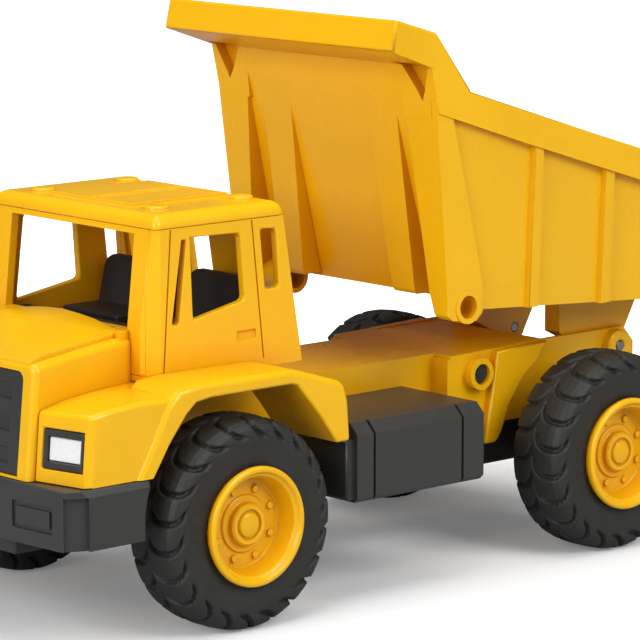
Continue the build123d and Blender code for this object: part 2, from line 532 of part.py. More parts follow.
hollow -= both_sides(box(HOOD_REAR_X - CUT, HOOD_FRONT_X, HOOD_RIB_Y - WALL / 2,
                         HOOD_RIB_Y + WALL / 2, 70.0, 140.0))
hood -= hollow
# Space for the frame's front end and the grille.
hood -= box(HOOD_REAR_X - CUT, FRAME_FRONT_X + 1.0, -FRAME_HALF_FRONT - 1.0,
            FRAME_HALF_FRONT + 1.0, FENDER_BOTTOM - CUT, FRAME_TOP + 1.0)
GRILLE_MID_Z = (GRILLE_Z0 + GRILLE_Z1) / 2
GRILLE_PLACE = Pos(nose_x(GRILLE_MID_Z), 0, GRILLE_MID_Z) * Rot(0, -NOSE_LEAN_DEG, 0)
GRILLE_HIGH = GRILLE_Z1 - GRILLE_Z0


def grille_block(gap, x0, x1):
    """Block with rounded upper corners, gap inside the grille's recess."""
    block = box(x0, x1, gap - GRILLE_HALF, GRILLE_HALF - gap,
                gap - GRILLE_HIGH / 2, GRILLE_HIGH / 2 - gap)
    return fillet(block.edges().filter_by(Axis.X).group_by(Axis.Z)[-1], GRILLE_ROUND - gap)


hood -= GRILLE_PLACE * grille_block(0.0, -GRILLE_DEEP, 5.0)
parts["hood"] = hood

grille = grille_block(SEAT_GAP, -GRILLE_DEEP, -0.6)
for i in range(SLOT_COUNT):
    z = (i - (SLOT_COUNT - 1) / 2) * SLOT_PITCH - 0.6
    grille -= box(-2.4, CUT, -SLOT_HALF, SLOT_HALF, z - SLOT_HIGH / 2, z + SLOT_HIGH / 2)
parts["grille"] = GRILLE_PLACE * grille

# ======================================================================= cab
# Side outline: rear foot, rear top, front top, windscreen foot, front foot.
REAR_FOOT, REAR_TOP = (-58.4, CAB_FLOOR_Z), (-47.0, CAB_SEAM_Z)
FRONT_TOP, SCREEN_FOOT = (26.5, CAB_SEAM_Z), (31.2, 133.0)
cab_block = side_prism([REAR_FOOT, REAR_TOP, FRONT_TOP, SCREEN_FOOT, (31.2, CAB_FLOOR_Z)],
                       -CAB_HALF, CAB_HALF)
# Front pillars are bevelled at the corner.
PILLAR_BEVEL = 6.5
cab_block -= both_sides(plan_prism([
    (22.5, CAB_HALF + 1.0), (32.5, CAB_HALF - PILLAR_BEVEL), (40.0, CAB_HALF - PILLAR_BEVEL),
    (40.0, CAB_HALF + 5.0), (22.5, CAB_HALF + 5.0)], FLARE_TOP + 0.5, ROOF_TOP))
side_in = CAB_HALF - CAB_WALL
panel_in = side_in - PANEL_GAP
REAR_WALL_IN = CAB_WALL + 0.3
# Windows of the left side, and of the right side, whose door has one pane.
DOOR_PANE = [(-24.5, 140.4), (-21.8, WINDOW_TOP - 0.3), (6.9, WINDOW_TOP + 0.4), (5.3, 134.6)]
VENT_PANE = [(13.3, 133.3), (9.0, WINDOW_TOP - 0.4), (11.6, WINDOW_TOP - 0.1), (17.3, 133.7)]
RIGHT_PANE = [(-20.0, 137.5), (-17.6, WINDOW_TOP - 0.2), (12.2, WINDOW_TOP - 0.1),
              (17.0, 131.5)]
REAR_PANE = [(-44.8, 143.9), (-42.8, WINDOW_TOP - 0.2), (-33.6, WINDOW_TOP + 0.3),
             (-36.6, 143.7)]
SEAM_TOP = CAB_SEAM_Z - 0.6
DOOR_SEAMS = [[(17.6, SEAM_TOP), (22.0, 111.0), (22.9, 111.0), (18.5, SEAM_TOP)],
              [(-29.0, SEAM_TOP), (-35.8, 113.0), (-35.0, 113.0), (-28.2, SEAM_TOP)]]
HANDLE = (-31.0, -20.0, 122.5, 126.5)
for side, panes in (("left", (DOOR_PANE, VENT_PANE, REAR_PANE)),
                    ("right", (RIGHT_PANE, REAR_PANE))):
    panel = cab_block & box(-80, 60, side_in, CAB_HALF + CUT, 100, 200)
    for pane in panes:
        panel -= side_prism(pane, side_in - CUT, CAB_HALF + CUT)
    for seam in DOOR_SEAMS:
        panel -= side_prism(seam, CAB_HALF - 0.8, CAB_HALF + CUT)
    x0, x1, z0, z1 = HANDLE
    panel -= box(x0, x1, CAB_HALF - 1.2, CAB_HALF + CUT, z0, z1)
    parts["cab_side_%s" % side] = panel if side == "left" else other_side(panel)
between = cab_block & box(-80, 60, -panel_in, panel_in, 100, 200)
floor_top = CAB_FLOOR_Z + WALL
parts["cab_floor"] = between & box(-80, 60, -99, 99, 100, floor_top)
upper = between & box(-80, 60, -99, 99, floor_top + PANEL_GAP, 200)
rear_in = [(REAR_FOOT[0] + REAR_WALL_IN, 100), (REAR_FOOT[0] + REAR_WALL_IN, CAB_FLOOR_Z),
           (REAR_TOP[0] + REAR_WALL_IN - 0.9, CAB_SEAM_Z + CUT), (-90, 200), (-90, 100)]
rear_wall = upper & side_prism(rear_in, -99, 99)
REAR_WINDOW_Z0, REAR_WINDOW_Z1 = 138.0, WINDOW_TOP - 1.9
REAR_PANE_OUT = CAB_HALF - 6.5
# Middle window and one beside each corner: y from, y to.
REAR_WINDOWS = ((-7.5, 7.5), (32.0, REAR_PANE_OUT), (-REAR_PANE_OUT, -32.0))
for y0, y1 in REAR_WINDOWS:
    rear_wall -= box(-70, -40, y0, y1, REAR_WINDOW_Z0, REAR_WINDOW_Z1)
parts["cab_rear_wall"] = rear_wall
front_wall = upper & side_prism([(31.2 - CAB_WALL, 100), (31.2 - CAB_WALL, SCREEN_FOOT[1]),
                                 (FRONT_TOP[0] - CAB_WALL, CAB_SEAM_Z + CUT), (60, 200),
                                 (60, 100)], -99, 99)
front_wall -= box(15, 40, -SCREEN_HALF, SCREEN_HALF, SCREEN_Z0, SCREEN_Z1)
parts["cab_windscreen_frame"] = front_wall

# Roof cap with rounded upper edges, a raised middle and four corner bumps.
ROOF_X0, ROOF_X1 = REAR_TOP[0] - 0.7, FRONT_TOP[0] + 0.4
ROOF_HALF = CAB_HALF + 0.4
roof_seat = CAB_SEAM_Z + PANEL_GAP
roof = box(ROOF_X0, ROOF_X1, -ROOF_HALF, ROOF_HALF, roof_seat, ROOF_TOP - 1.2)
roof = fillet(roof.edges().filter_by(Axis.Z), 3.0)
roof = fillet(roof.edges().group_by(Axis.Z)[-1], ROOF_ROUND)
roof -= box(ROOF_X0 + 6.0, ROOF_X1 - 6.0, -ROOF_HALF + 7.0, ROOF_HALF - 7.0,
            CAB_SEAM_Z - CUT, ROOF_TOP - ROOF_SKIN)
ROOF_PANEL_HALF = 28.0
ROOF_GROOVE = 3.0       # half width of the shallow groove in the middle
roof += box(-40.0, 16.0, -ROOF_PANEL_HALF, ROOF_PANEL_HALF, ROOF_TOP - 3.0, ROOF_TOP)
roof -= box(-37.0, 13.0, -ROOF_GROOVE, ROOF_GROOVE, ROOF_TOP - 1.0, ROOF_TOP + CUT)
bump = Pos(0, 0, ROOF_TOP - 1.7) * Cylinder(5.4, 4.0)
bump = fillet(bump.edges().group_by(Axis.Z)[-1], 1.4)
for x in (11.5, -37.5):
    for y in (40.0, -40.0):
        roof += Pos(x, y, 0) * bump
parts["cab_roof"] = roof

# Cab inside: floor tray with the dash ledge, and two seats.
tray_z = floor_top + SEAT_GAP
TRAY_TOP = 118.0
INSIDE_HALF = CAB_HALF - 7.5
interior = box(-48.0, 24.0, -INSIDE_HALF, INSIDE_HALF, tray_z, TRAY_TOP)
interior += box(14.0, 24.0, -INSIDE_HALF, INSIDE_HALF, TRAY_TOP, 130.0)
parts["cab_interior"] = interior
SEAT_IN, SEAT_OUT = 10.0, INSIDE_HALF
SEAT_TOP = 148.5
seat = box(-36.0, -6.0, SEAT_IN, SEAT_OUT, TRAY_TOP, 127.0)
seat_back = side_prism([(-37.0, 126.0), (-27.0, 126.0), (-32.0, SEAT_TOP), (-37.5, SEAT_TOP),
                        (-41.0, 138.0)], SEAT_IN, SEAT_OUT)
top_corners = [e for e in seat_back.edges().filter_by(Axis.X) + seat_back.edges()
               if e.center().Z > SEAT_TOP - 0.1 and abs(e.center().Y - (SEAT_IN + SEAT_OUT) / 2) > 10]
seat += fillet(list({hash(e): e for e in top_corners}.values()), 6.0)
parts["seat_left"] = seat
parts["seat_right"] = other_side(seat)

# ======================================================================= bed
# Lines of the bed in side view, in its raised place.
RIM_SLOPE = math.tan(math.radians(RIM_SLOPE_DEG))
BOTTOM_SLOPE = math.tan(math.radians(BOTTOM_SLOPE_DEG))
RIM_FRONT = (-144.9, 226.3)          # where the rim meets the canopy's cheek
WALL_TOP = (-123.0, 226.0)           # front wall below the canopy
CANOPY_ROOT = (-120.0, 238.0)
CANOPY_BACK = (-123.3, 253.7)
CANOPY_LIP_LOW, CANOPY_LIP_TOP = (-92.7, 247.4), (-95.8, 261.4)
CANOPY_LIP_HALF = 79.3               # the canopy widens towards its lip
BED_END_X = TAIL_X - 15.0            # cutters run past the tail to here
BED_OUT = BED_RIM_HALF + 3.5


def rim_z(x):
    return RIM_FRONT[1] + (x - RIM_FRONT[0]) * RIM_SLOPE


def bottom_z(x):
    """Lower edge of the side walls."""
    return 122.7 + (x + 159.0) * BOTTOM_SLOPE


def floor_z(x):
    """Underside of the floor."""
    return bottom_z(x) + BED_SKIRT


def side_y(z):
    """Outer face of the side walls."""
    return BED_BOTTOM_HALF + (z - 118.0) * (BED_TOP_HALF - BED_BOTTOM_HALF) / (215.0 - 118.0)


def trough(inset):
    """Space between the side walls' outer faces, set in all round."""
    low, top = side_y(90.0) - inset, side_y(270.0) - inset
    return front_prism([(-low, 90.0), (low, 90.0), (top, 270.0), (-top, 270.0)], BED_END_X, -90.0)


def wall_x(z):
    """Outer face of the front wall."""
    foot = (BED_FRONT_X, floor_z(BED_FRONT_X))
    return foot[0] + (z - foot[1]) * (WALL_TOP[0] - foot[0]) / (WALL_TOP[1] - foot[1])


skirt_x = wall_x(bottom_z(BED_FRONT_X))
bed = side_prism([(skirt_x, bottom_z(skirt_x)), WALL_TOP, CANOPY_ROOT, CANOPY_BACK, RIM_FRONT,
                  (RIM_END_X, rim_z(RIM_END_X)), (TAIL_X, bottom_z(TAIL_X))],
                 -BED_OUT, BED_OUT) & trough(0.0)
bed -= side_prism([(-120.0, 90.0), (-120.0, floor_z(-120.0)), (BED_END_X, floor_z(BED_END_X)),
                   (BED_END_X, 90.0)], -BED_OUT, BED_OUT) & trough(BED_WALL)
# Posts at the corners of the front wall, narrower at their feet, and a
# stepped wedge beside each that runs out towards the canopy.
POST_TOP = (-124.6, 217.0)
POST_FOOT_X, POST_FOOT_Z = -133.8, 120.0
WEDGE_Z = 214.0
post = side_prism([WALL_TOP, (-133.5, 130.0), (POST_FOOT_X, POST_FOOT_Z + 2.0),
                   (POST_FOOT_X - 3.0, POST_FOOT_Z), (-152.0, 118.4), (-156.0, 122.0),
                   (-156.0, 134.0), (WALL_TOP[0] - 8.0, WALL_TOP[1])], 40, BED_OUT)
post &= front_prism([(66.0, 117.0), (61.8, 131.0), (58.5, 175.0), (55.0, 218.0), (54.4, 228.0),
                     (76.2, 228.0), (73.6, 134.0), (73.4, 117.0)], -160.0, -90.0)
wedge = side_prism([(wall_x(WEDGE_Z), WEDGE_Z), (-138.2, 131.0), (-139.6, 129.0), (-155.0, 129.0),
                    (wall_x(WEDGE_Z) - 2.0, WEDGE_Z)], 20, 50)
wedge &= front_prism([(31.5, 128.0), (27.0, 214.0), (46.5, 214.0), (46.5, 128.0)], -160.0, -90.0)
bed += both_sides(post)
bed += both_sides(wedge)
# Load space.
bed -= side_prism([(BED_FRONT_X - BED_WALL, floor_z(BED_FRONT_X) + BED_FLOOR),
                   (WALL_TOP[0] - BED_WALL, WALL_TOP[1]), (CANOPY_ROOT[0] - BED_WALL, 238.0),
                   (CANOPY_ROOT[0] - BED_WALL, 262.0), (BED_END_X, 262.0),
                   (BED_END_X, floor_z(BED_END_X) + BED_FLOOR)],
                  -BED_OUT, BED_OUT) & trough(BED_WALL)
# Rim band along the top of the sides, and the cheeks under the canopy.
band_low = rim_z(-182.0) - RIM_BAND
bed += both_sides(side_prism([
    POST_TOP, CANOPY_ROOT, CANOPY_BACK, RIM_FRONT, (RIM_END_X, rim_z(RIM_END_X)),
    (RIM_END_X - 2.0, rim_z(RIM_END_X) - RIM_BAND), (-182.0, band_low)],
    side_y(215.0) - BED_WALL - 0.6, BED_RIM_HALF))
# Canopy slab.
canopy = side_prism([CANOPY_LIP_LOW, CANOPY_LIP_TOP, CANOPY_BACK,
                     (CANOPY_BACK[0], CANOPY_ROOT[1] - 0.4), CANOPY_ROOT], -BED_OUT, BED_OUT)
canopy &= plan_prism([(CANOPY_BACK[0], -BED_RIM_HALF), (CANOPY_LIP_LOW[0], -CANOPY_LIP_HALF),
                      (CANOPY_LIP_LOW[0], CANOPY_LIP_HALF), (CANOPY_BACK[0], BED_RIM_HALF)],
                     200.0, 270.0)
bed += canopy
# Three-cornered pockets where the posts meet the canopy, backed inside.
POCKET = [(55.6, 239.8), (74.5, 239.8), (67.0, 222.0)]
POCKET_DEEP = 6.0
backing = side_prism([(-124.0, 214.0), (-121.5, 240.0), (-131.5, 240.0), (-134.0, 214.0)],
                     POCKET[0][0] - 2.0, side_y(215.0) - 1.0)
pocket = front_prism(POCKET, -140.0, -100.0) & side_prism(
    [(-124.0 - POCKET_DEEP, 214.0), (-119.5 - POCKET_DEEP, 240.0), (-100.0, 240.0),
     (-100.0, 214.0)], 50, 80)
bed += both_sides(backing)
bed -= both_sides(pocket)
# Hollow bosses through the feet of the posts.
BED_BOSSES = [(side, sign, BED_BOSS_OUT_Y - BED_BOSS_LONG[side])
              for side, sign in (("left", 1), ("right", -1))]
for side, sign, inner_y in BED_BOSSES:
    bed += rod_y(BED_BOSS_X, BED_BOSS_Z, BED_BOSS_R, sign * inner_y, sign * BED_BOSS_OUT_Y)
    bed -= rod_y(BED_BOSS_X, BED_BOSS_Z, BED_BOSS_HOLE_R, sign * (inner_y - CUT),
                 sign * (BED_BOSS_OUT_Y + CUT))
# Side ribs with a slanted front, standing proud of the side wall.
proud = trough(-BED_RIB_PROUD) - trough(CUT)
for i in range(BED_RIB_COUNT):
    x = BED_RIB_FIRST_X - i * BED_RIB_PITCH
    low, top = bottom_z(x - 6.0), rim_z(x) - RIM_BAND + 2.0
    rib = plan_prism([(x, 60.0), (x, side_y(low) - 0.6), (x - BED_RIB_PROUD, 82.0),
                      (x - BED_RIB_PROUD - BED_RIB_CREST, 82.0),
                      (x - BED_RIB_PROUD - BED_RIB_CREST, 60.0)], low, top)
    bed += both_sides(rib & proud)
# Hinge ribs under the floor with their eyes.
BED_RIB_OUT_Y = FRAME_HALF_REAR - WALL - HINGE_SIDE_GAP
hinge_rib = side_prism([(BED_RIB_FRONT_X, floor_z(BED_RIB_FRONT_X) + 1.0),
                        (BED_RIB_FRONT_X, 97.5), (HINGE_X + 5.0, HINGE_Z - 5.0),
                        (HINGE_X - 5.0, HINGE_Z - 5.0), (-303.0, floor_z(-303.0) + 1.0)],
                       BED_RIB_IN_Y, BED_RIB_OUT_Y)
hinge_rib += rod_y(HINGE_X, HINGE_Z, HINGE_EYE_R, BED_RIB_IN_Y, BED_RIB_OUT_Y)
bed += both_sides(hinge_rib)
bed -= rod_y(HINGE_X, HINGE_Z, HINGE_PIN_R + RUN_GAP, -BED_RIB_OUT_Y - CUT, BED_RIB_OUT_Y + CUT)
parts["bed"] = bed

# ================================================================== hand over
SHIFT_X = -(BUMPER_FRONT_X + TAIL_X) / 2
os.makedirs("parts", exist_ok=True)
for name, shape in parts.items():
    export_step(Pos(SHIFT_X, 0, 0) * shape, "parts/%s.step" % name)
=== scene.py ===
"""Toy dump truck: dresses the packed solids with rounded mouldings, plastics and a small studio."""

import json
import math

import bmesh
import bpy
import numpy as np
from bpy.props import FloatProperty, FloatVectorProperty, IntProperty, PointerProperty
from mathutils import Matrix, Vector
from mathutils.bvhtree import BVHTree


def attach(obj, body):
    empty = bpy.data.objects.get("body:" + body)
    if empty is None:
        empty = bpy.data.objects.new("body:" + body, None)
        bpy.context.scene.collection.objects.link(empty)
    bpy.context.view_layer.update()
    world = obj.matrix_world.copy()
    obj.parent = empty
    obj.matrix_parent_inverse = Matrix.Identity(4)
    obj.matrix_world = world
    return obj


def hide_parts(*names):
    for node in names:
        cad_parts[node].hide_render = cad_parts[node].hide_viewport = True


bl_info = {
    "name": "Toy Dump Truck",
    "version": (1, 0, 0),
    "blender": (4, 5, 0),
    "location": "View3D > Sidebar > Dump Truck",
    "description": "Builds the mouldings, wheels, lamps and studio of a toy dump truck round its solids",
    "category": "Object",
}

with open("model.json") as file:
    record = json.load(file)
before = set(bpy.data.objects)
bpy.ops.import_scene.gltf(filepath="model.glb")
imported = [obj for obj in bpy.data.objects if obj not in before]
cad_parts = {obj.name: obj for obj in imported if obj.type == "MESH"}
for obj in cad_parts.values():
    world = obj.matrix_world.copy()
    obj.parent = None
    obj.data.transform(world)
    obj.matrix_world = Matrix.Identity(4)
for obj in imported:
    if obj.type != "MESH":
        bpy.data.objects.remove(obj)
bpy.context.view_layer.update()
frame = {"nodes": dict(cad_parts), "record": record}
NODES = frame["nodes"]
BODY_OF = {node: body for body, members in frame["record"]["behaviour"]["bodies"].items()
           for node in members}
SLOT_OF = {part["node"]: part["material_slot"] for part in frame["record"]["subparts"]}
MM = 0.001
WHEELS = ("front_left", "front_right", "rear_left", "rear_right")


# ---------------------------------------------------------------- settings

class FinishColours(bpy.types.PropertyGroup):
    """Colours of the plastics and of the small metal parts."""

    body: FloatVectorProperty(
        name="Body plastic", description="Yellow of the cab, hood, fenders, frame, bed and rims",
        subtype="COLOR", size=3, min=0.0, max=1.0, default=(0.935, 0.505, 0.004))
    trim: FloatVectorProperty(
        name="Trim plastic", description="Dark grey of the bumper, tool boxes and underframe",
        subtype="COLOR", size=3, min=0.0, max=1.0, default=(0.035, 0.035, 0.034))
    seat: FloatVectorProperty(
        name="Seat plastic", description="Near black of the seats and the cab's inside",
        subtype="COLOR", size=3, min=0.0, max=1.0, default=(0.013, 0.013, 0.014))
    tyre: FloatVectorProperty(
        name="Tyre plastic", description="Soft dark plastic of the tyres",
        subtype="COLOR", size=3, min=0.0, max=1.0, default=(0.018, 0.0185, 0.017))
    steel: FloatVectorProperty(
        name="Axle steel", description="Drawn steel of the axles and the hinge pin",
        subtype="COLOR", size=3, min=0.0, max=1.0, default=(0.30, 0.30, 0.31))
    lamp: FloatVectorProperty(
        name="Lamp silver", description="Silvered plastic of the headlamps",
        subtype="COLOR", size=3, min=0.0, max=1.0, default=(0.95, 0.95, 0.95))


class EdgeRadii(bpy.types.PropertyGroup):
    """Radii of the rounded edges on the mouldings."""

    panel: FloatProperty(
        name="Panel edge", description="Edge radius of the cab's panels, the grille and the roof",
        subtype="DISTANCE", unit="LENGTH", min=0.0, max=0.003, default=0.7 * MM, precision=5)
    shell: FloatProperty(
        name="Shell edge", description="Edge radius of the hood, fenders, frame and load bed",
        subtype="DISTANCE", unit="LENGTH", min=0.0, max=0.003, default=1.4 * MM, precision=5)
    block: FloatProperty(
        name="Block edge", description="Edge radius of the bumper, tool boxes and seats",
        subtype="DISTANCE", unit="LENGTH", min=0.0, max=0.003, default=1.3 * MM, precision=5)
    wheel: FloatProperty(
        name="Wheel edge", description="Edge radius of the lugs and of the rims' rings and studs",
        subtype="DISTANCE", unit="LENGTH", min=0.0, max=0.002, default=0.55 * MM, precision=5)
    corner: FloatProperty(
        name="Window corner", description="Radius in the corners of the cab's window openings",
        subtype="DISTANCE", unit="LENGTH", min=0.0, max=0.005, default=2.4 * MM, precision=5)
    steps: IntProperty(
        name="Edge steps", description="Faces across each rounded edge", min=1, max=4, default=2)


class TyreShape(bpy.types.PropertyGroup):
    """Section and grooves of the tyres."""

    tread: FloatProperty(
        name="Tread radius", description="Radius at the tops of the lugs",
        subtype="DISTANCE", unit="LENGTH", min=0.02, default=47.5 * MM, precision=5)
    bead: FloatProperty(
        name="Bore radius", description="Radius of the tyre's bore on the rim",
        subtype="DISTANCE", unit="LENGTH", min=0.01, default=25.3 * MM, precision=5)
    lugs: IntProperty(name="Lugs", description="Lugs round each half of the tread", min=3, default=22)
    steps: IntProperty(
        name="Lug steps", description="Faces round the tread for each lug", min=4, default=22)
    groove_depth: FloatProperty(
        name="Groove depth", description="Depth of the grooves between the lugs",
        subtype="DISTANCE", unit="LENGTH", min=0.0, default=2.5 * MM, precision=5)
    groove_half: FloatProperty(
        name="Groove half width", description="Half of the width of a groove",
        subtype="DISTANCE", unit="LENGTH", min=0.0001, default=1.3 * MM, precision=5)
    bow_middle: FloatProperty(
        name="Bow middle", description="Way over the tread from its middle to the middle of a groove",
        subtype="DISTANCE", unit="LENGTH", default=10.4 * MM, precision=5)
    bow_reach: FloatProperty(
        name="Bow reach", description="Half of the length of a groove over the tread",
        subtype="DISTANCE", unit="LENGTH", min=0.001, default=8.6 * MM, precision=5)
    bow_turn: FloatProperty(
        name="Bow turn", description="How far the ends of a groove turn back along the tread",
        subtype="DISTANCE", unit="LENGTH", default=4.4 * MM, precision=5)


class SurfaceDetail(bpy.types.PropertyGroup):
    """Grain, waviness and wear of the surfaces."""

    grain_depth: FloatProperty(
        name="Grain depth", description="Height of the fine grain left by the mould",
        subtype="DISTANCE", unit="LENGTH", min=0.0, max=0.001, default=0.02 * MM, precision=6)
    grain_size: FloatProperty(
        name="Grain size", description="Width of one grain of the mould's texture",
        subtype="DISTANCE", unit="LENGTH", min=0.0001, max=0.01, default=0.45 * MM, precision=5)
    sink_depth: FloatProperty(
        name="Sink depth", description="Height of the slow waves where thick plastic has shrunk",
        subtype="DISTANCE", unit="LENGTH", min=0.0, max=0.001, default=0.10 * MM, precision=6)
    # Wear also sets how strongly a painted highlight lightens the plastics' edges.
    wear: FloatProperty(
        name="Wear", description="How much the edges and the open faces are rubbed and scratched",
        subtype="FACTOR", min=0.0, max=1.0, default=0.35)


class StudioSettings(bpy.types.PropertyGroup):
    """Floor, lamps and camera."""

    floor: FloatVectorProperty(
        name="Floor", description="Colour of the floor and the backdrop",
        subtype="COLOR", size=3, min=0.0, max=1.0, default=(0.90, 0.90, 0.90))
    key_power: FloatProperty(
        name="Key lamp", description="Power of the large lamp on the truck's left",
        unit="POWER", min=0.0, default=28.0)
    front_power: FloatProperty(
        name="Front lamp", description="Power of the soft lamp before the truck",
        unit="POWER", min=0.0, default=35.0)
    top_power: FloatProperty(
        name="Top lamp", description="Power of the soft box overhead",
        unit="POWER", min=0.0, default=20.0)
    sky: FloatProperty(
        name="Room light", description="Strength of the even light from all round",
        min=0.0, max=5.0, default=0.26)
    camera_place: FloatVectorProperty(
        name="Camera", description="Where the camera stands",
        subtype="TRANSLATION", unit="LENGTH", size=3, default=(1.17514, 1.31356, 0.41556))
    camera_target: FloatVectorProperty(
        name="Target", description="The point the camera looks at",
        subtype="TRANSLATION", unit="LENGTH", size=3, default=(-0.00897, 0.0, 0.11304))
    lens: FloatProperty(
        name="Lens", description="Focal length of the camera",
        subtype="DISTANCE_CAMERA", unit="CAMERA", min=10.0, default=214.29)


# ---------------------------------------------------------------- materials

WHITE = (1.0, 1.0, 1.0, 1.0)
# Cosines between a face's normal and the softened one: on an open face and on an edge.
EDGE_COSINES = (0.99, 0.86)
SCRATCH_TURNS = ((0.3, 0.5, 0.8), (1.1, 0.2, 2.4))
SCRATCH_STRETCH = (1.0, 26.0, 26.0)
SCRATCH_LENGTH = 55 * MM
# Half of the band of noise values that makes a scratch.
SCRATCH_BAND = 0.006
DUST_COLOUR = (0.16, 0.15, 0.14, 1.0)
DUSTY_TYRE = (0.075, 0.073, 0.070, 1.0)
RUBBED_TYRE = (0.085, 0.084, 0.080, 1.0)
# How far the painted recess shade looks, and the open shares between which it fades away.
RECESS_REACH = 28 * MM
RECESS_OPEN = (0.15, 0.80)
# What is left of the colour's red, green and blue in the deepest recess, where the painted shade is
# darkest.
RECESS_SHARES = (0.62, 0.36, 0.0)


class Nodes:
    """Adds shader nodes to one material or world and joins them."""

    def __init__(self, owner):
        self.owner = owner
        owner.use_nodes = True
        self.tree = owner.node_tree
        self.tree.nodes.clear()

    def add(self, kind, inputs=(), **settings):
        """One node; inputs maps a socket's name or number to a value or another node's socket."""
        node = self.tree.nodes.new(kind)
        for key, value in settings.items():
            setattr(node, key, value)
        for key, value in dict(inputs).items():
            if isinstance(value, bpy.types.NodeSocket):
                self.tree.links.new(value, node.inputs[key])
            else:
                node.inputs[key].default_value = value
        return node

    def place(self):
        """Coordinates on the piece, in metres."""
        return self.add("ShaderNodeTexCoord").outputs["Object"]

    def noise(self, place, size, detail=2.0, rough=0.5):
        """Noise from 0 to 1 whose lumps are about size metres wide."""
        node = self.add("ShaderNodeTexNoise", {"Vector": place, "Scale": 1.0 / size, "Detail": detail,
                                               "Roughness": rough})
        return node.outputs["Fac"]

    def spread(self, value, low, high, to_low=0.0, to_high=1.0):
        """value between low and high, put between to_low and to_high."""
        node = self.add("ShaderNodeMapRange", {"Value": value, "From Min": low, "From Max": high,
                                               "To Min": to_low, "To Max": to_high}, clamp=True)
        return node.outputs["Result"]

    def maths(self, operation, first, second=0.0):
        """The result of one sum on two values."""
        node = self.add("ShaderNodeMath", {0: first, 1: second}, operation=operation)
        return node.outputs["Value"]

    def blend(self, amount, first, second):
        """first where amount is 0, second where it is 1; both are colours."""
        node = self.add("ShaderNodeMix", {0: amount, 6: first, 7: second}, data_type="RGBA")
        return node.outputs[2]

    def bump(self, height, depth, normal=None):
        """The normal that waves of this depth give, on top of another normal if there is one."""
        inputs = {"Height": height, "Distance": depth, "Strength": 1.0}
        if normal is not None:
            inputs["Normal"] = normal
        return self.add("ShaderNodeBump", inputs).outputs["Normal"]

    def true_normal(self):
        """The surface's own normal."""
        return self.add("ShaderNodeNewGeometry").outputs["Normal"]

    def edge_mask(self, reach):
        """1 on edges and corners, 0 on open faces."""
        soft = self.add("ShaderNodeBevel", {"Radius": reach}, samples=4).outputs["Normal"]
        along = self.add("ShaderNodeVectorMath", {0: soft, 1: self.true_normal()}, operation="DOT_PRODUCT")
        return self.spread(along.outputs["Value"], *EDGE_COSINES)

    def surface(self, **inputs):
        """The material, with the principled shader and these inputs on its output."""
        shader = self.add("ShaderNodeBsdfPrincipled",
                          {key.replace("_", " "): value for key, value in inputs.items()})
        self.add("ShaderNodeOutputMaterial", {"Surface": shader.outputs["BSDF"]})
        return self.owner


def new_finish(name):
    """The empty shader tree of a new material."""
    return Nodes(bpy.data.materials.new(name))


def tint(colour, factor, lift=0.0):
    """The colour made lighter or darker, as four numbers."""
    return tuple(min(1.0, part * factor + lift) for part in colour) + (1.0,)


def scratches(nodes, place, turn):
    """Fine straight scratches, 1 on a scratch, in the direction that turn gives."""
    turned = nodes.add("ShaderNodeMapping", {"Vector": place, "Rotation": turn,
                                             "Scale": SCRATCH_STRETCH}).outputs["Vector"]
    streaks = nodes.noise(turned, SCRATCH_LENGTH, 3.0, 0.6)
    near_middle = nodes.maths("ABSOLUTE", nodes.maths("SUBTRACT", streaks, 0.5))
    lines = nodes.spread(near_middle, 0.0, SCRATCH_BAND, 1.0, 0.0)
    patches = nodes.spread(nodes.noise(place, 30 * MM, 2.0), 0.52, 0.62)
    return nodes.maths("MULTIPLY", lines, patches)


def dusted(nodes, shade, fine, amount):
    """The shade with dust on what faces up, broken by the fine noise."""
    upward = nodes.add("ShaderNodeSeparateXYZ", {0: nodes.true_normal()}).outputs["Z"]
    lying = nodes.maths("MULTIPLY", nodes.spread(upward, 0.1, 1.0), nodes.spread(fine, 0.3, 0.7, 0.3, 1.0))
    return nodes.blend(nodes.maths("MULTIPLY", lying, amount), shade, DUST_COLOUR)


def painted_recess_shade(nodes, shade, colour, amount):
    """The shade with painted shade in recesses, darker and more orange where coloured walls light each
    other.
    """
    around = nodes.add("ShaderNodeAmbientOcclusion", {"Distance": RECESS_REACH}, samples=4)
    closed = nodes.spread(around.outputs["AO"], *RECESS_OPEN, 1.0, 0.0)
    recess_shade_share = nodes.maths("MULTIPLY", closed, amount)
    deepest_painted_shade = tuple(part * share for part, share in zip(colour, RECESS_SHARES)) + (1.0,)
    return nodes.blend(recess_shade_share, shade, deepest_painted_shade)


